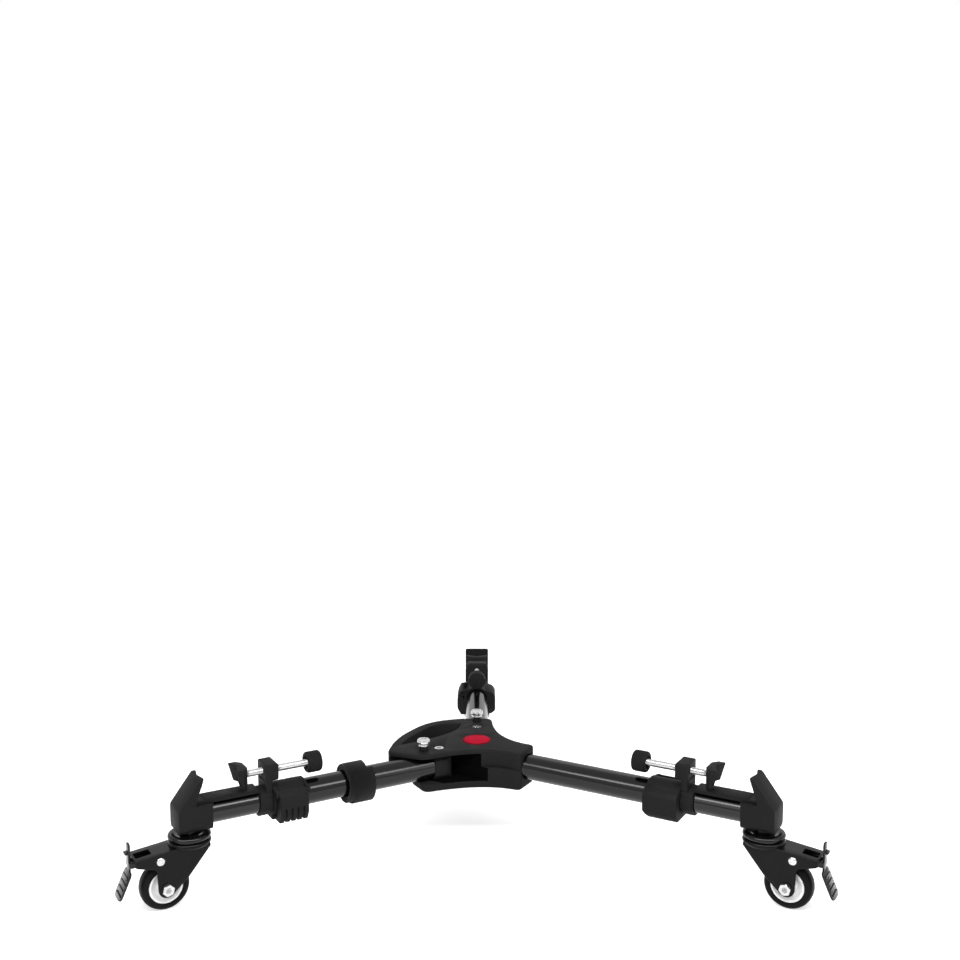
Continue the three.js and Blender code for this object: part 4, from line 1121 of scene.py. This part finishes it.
# %% [markdown]
# The fork is pressed from sheet: a top strip with a slot near its end, and two cheeks folded
# down from it that hold the axle. It is drawn from the side and hollowed out, and its folds
# are rounded with a bevel.

# %% Caster forks
AXLE = 29.0
CHEEK_HALF = 15.5
RIVET, RIVET_HEIGHT = 35.6, -39.2
FORK_END, SLOPE_START, SLOPE_DROP = 62.5, 20.0, 4.5


def cheek_outline():
    return [(-19, FORK_TOP), (-19, -33), (5, -62), *arc(AXLE, -AXLE_DROP, 9.6, 219.6, 360, 18),
            *bend(Vector((39.5, -54)), Vector((39.5, -46.5)), Vector((45, -46.5)), 8), (60, -42),
            (FORK_END, FORK_TOP - SLOPE_DROP - 6), (FORK_END, FORK_TOP - SLOPE_DROP),
            (SLOPE_START, FORK_TOP)]


def caster_fork():
    body = side_slab("caster_fork", cheek_outline(), CHEEK_HALF)
    fall = SLOPE_DROP / (FORK_END - SLOPE_START)
    channel = [(-30, FORK_UNDER), (-30, -95), (80, -95),
               (80, FORK_UNDER - fall * (80 - SLOPE_START)), (SLOPE_START, FORK_UNDER)]
    carve(body, side_slab("channel", channel, CHEEK_HALF - SHEET))
    body = soften(body, 0.9, 3, 60)
    carve(body, raised("slot", rounded(rectangle(43, 60, -7, 7), [2] * 4), -60, -10))
    fuse(body, spun("race", [(0, LOWER_TOP), *race_rim(LOWER_TOP), (0, FORK_UNDER)], 64))
    carve(body, rod("kingpin_hole", 6.3, -45, -20))
    carve(body, shift(rod("axle_hole", 4.2, -30, 30, "Y"), AXLE, 0, -AXLE_DROP))
    carve(body, shift(rod("rivet_hole", 2.9, -30, 30, "Y"), RIVET, 0, RIVET_HEIGHT))
    return shift(shade(body, 32), CASTER_X)


on_each_arm(caster_fork(), "caster_fork", "swivel", "fork_black")


# %% [markdown]
# The axle bolt ends in a hexagon head on one side and a hexagon nut with its bolt end on
# the other. The brake rivet has two domed heads.

# %% Axle bolts and brake rivets
def axle_bolt():
    shank = rod("axle_bolt", 3.9, -17, 17, "Y")
    ends = []
    for way in (1, -1):
        nut = raised("nut", hexagon(6.6, 15), 15.8, 19.8)
        common(nut, spun("chamfer", [(0, 15.6), (7.5, 15.6), (7.5, 18.2), (5.9, 19.9),
                                     (0, 19.9)], 32))
        tip = spun("tip", [(0, 19.5), (3.6, 19.5), (3.6, 19.6), (3.2, 19.8), (0, 19.8)], 24)
        ends.append(turn(together(nut, tip), "X", -90 * way))
    return shift(shade(together(shank, *ends), 25), CASTER_X + AXLE, 0, -AXLE_DROP)


on_each_arm(axle_bolt(), "axle_bolt", "swivel", "steel_bright")


def brake_rivet():
    shank = rod("brake_rivet", 2.6, -16.5, 16.5, "Y")
    head = [(0, 15.8), (4.6, 15.8), (4.5, 16.4), (3.8, 17.1), (2.6, 17.5), (1.6, 17.6),
            (1.5, 17.2), (0, 17.2)]
    heads = [turn(spun("head", head, 32), "X", -90 * way) for way in (1, -1)]
    return shift(shade(together(shank, *heads), 40), CASTER_X + RIVET, 0, RIVET_HEIGHT)


on_each_arm(brake_rivet(), "brake_rivet", "swivel", "steel_bright")


# %% [markdown]
# The wheel is a cast rim with a dished web and a glossy tyre. Both are spun about the axle.

# %% Wheels
def on_axle(name, half, angle):
    """Half a profile of (radius, along) points is mirrored and spun about the axle."""
    mirrored = [(radius, -along) for radius, along in reversed(half)]
    wheel = shade(spun(name, half + mirrored, 72, "Y"), angle)
    return shift(wheel, CASTER_X + AXLE, 0, -AXLE_DROP)


face = 9.4
wheel_rim = on_axle("wheel_rim", [
    (4.2, face), (7.6, face), (8, face - 0.4), (8.6, face - 4.2), (9.6, face - 4.9),
    (13.3, face - 4.9), (14.3, face - 4.3), (15.9, face - 0.9), (16.5, face - 0.6),
    (17.9, face - 0.6), (18.3, face - 1.0)], 35)
wheel_tyre = on_axle("wheel_tyre", [
    (18.6, 8.8), (19.1, 9.4), (21.6, 9.4), (22.7, 9.2), (24.0, 8.5), (25.1, 7.4), (25.9, 6.0),
    (26.35, 4.4), (26.56, 2.5), (WHEEL_RADIUS, 0.8)], 60)


on_each_arm(wheel_rim, "wheel_rim", "wheel", "rim_silver")
on_each_arm(wheel_tyre, "wheel_tyre", "wheel", "tyre_black")


# %% [markdown]
# The brake pedal turns on the rivet. Its arm runs inside the fork, a tab stands up at the end
# to release it, and the foot plate hangs down outside with raised ribs for grip.

# %% Brake pedals
PLATE, BEND = 64.5, -48.0
TOE, TOE_HEIGHT = 77.5, -77.0


def brake_pedal():
    arm = raised("brake_pedal", rectangle(RIVET, PLATE + 2.35, -8, 8), -43.6, -37.4)
    soften(arm, 0.8)
    tab = end_slab("tab", rounded(rectangle(-5, 5, -50, -17.5), (0, 0, 3, 3), 5),
                   PLATE, PLATE + 2.4)
    lip = raised("lip", rounded([(PLATE + 1, -5), (PLATE + 5.8, -4.9), (PLATE + 5.8, 4.9),
                                 (PLATE + 1, 5)], (0, 2, 2, 0)), -29, -27)
    barrel = shift(rod("barrel", 4.4, -11.5, 11.5, "Y"), RIVET, 0, RIVET_HEIGHT)
    fuse(arm, soften(tab, 0.5), soften(lip, 0.4), barrel)
    carve(arm, shift(rod("rivet_hole", 2.9, -30, 30, "Y"), RIVET, 0, RIVET_HEIGHT))
    length = math.hypot(TOE - PLATE, TOE_HEIGHT - BEND)
    foot = raised("foot", rounded(rectangle(0, length, -12, 12), (5, 7, 7, 5), 6), 0, 2.2)
    soften(foot, 0.5, 2, 50)
    ribs = []
    for i in range(4):
        x = 5.5 + i * 6.6
        rib = raised("rib", rounded(rectangle(x, x + 2, -9.5, 9.5), [0.9] * 4, 3), 2.0, 3.2)
        ribs.append(soften(rib, 0.4))
    together(foot, *ribs)
    tilt = math.degrees(math.atan2(BEND - TOE_HEIGHT, TOE - PLATE))
    shift(turn(foot, "Y", tilt), PLATE, 0, BEND)
    return shift(shade(together(arm, foot), 32), CASTER_X)


on_each_arm(brake_pedal(), "brake_pedal", "brake", "steel_black")

# %% [markdown]
# The strap is a length of tape wound about four times round the left tube: some turns close
# to the tube, one turn over them, and a last part that stands off. Each is a spiral in
# section, stretched along the tube.

# %% Strap
TAPE_THICKNESS, TAPE_REACH = 1.3, 0.018


def tape_turns(name, start, end, radius, phase, turns, lift):
    """A band whose radius grows slowly with its angle, closed and with soft edges."""
    steps = int(72 * turns)

    def spiral(inside):
        points = []
        for share in [i / steps for i in range(steps + 1)]:
            angle, reach = 2 * math.pi * turns * share + phase, inside + lift * share
            points.append((math.cos(angle) * reach, math.sin(angle) * reach))
        return points

    outline = spiral(radius) + spiral(radius + TAPE_THICKNESS)[::-1]
    return soften(end_slab(name, outline, start, end), 0.45, 2, 50)


core = tape_turns("core_turns", 156, 179, 15.6, math.radians(30), 2.3, 4.6)
under = tape_turns("under_turn", 155, 179.3, 20.9, math.radians(100), 1.0, 1.0)
tail = tape_turns("tail", 148.5, 172.5, 23.5, math.radians(-200), 254 / 360, 0.0)
strap = shade(together(core, under, tail), 40)
uv = strap.data.uv_layers.new(name="tape")
for loop in strap.data.loops:
    co = strap.data.vertices[loop.vertex_index].co
    uv.data[loop.index].uv = (math.atan2(co.z, co.y) * TAPE_REACH, co.x)
put(strap, "strap_shown", LEFT, "arm_left", "strap", "strap_fabric")
done(strap, "strap", "on the left arm")
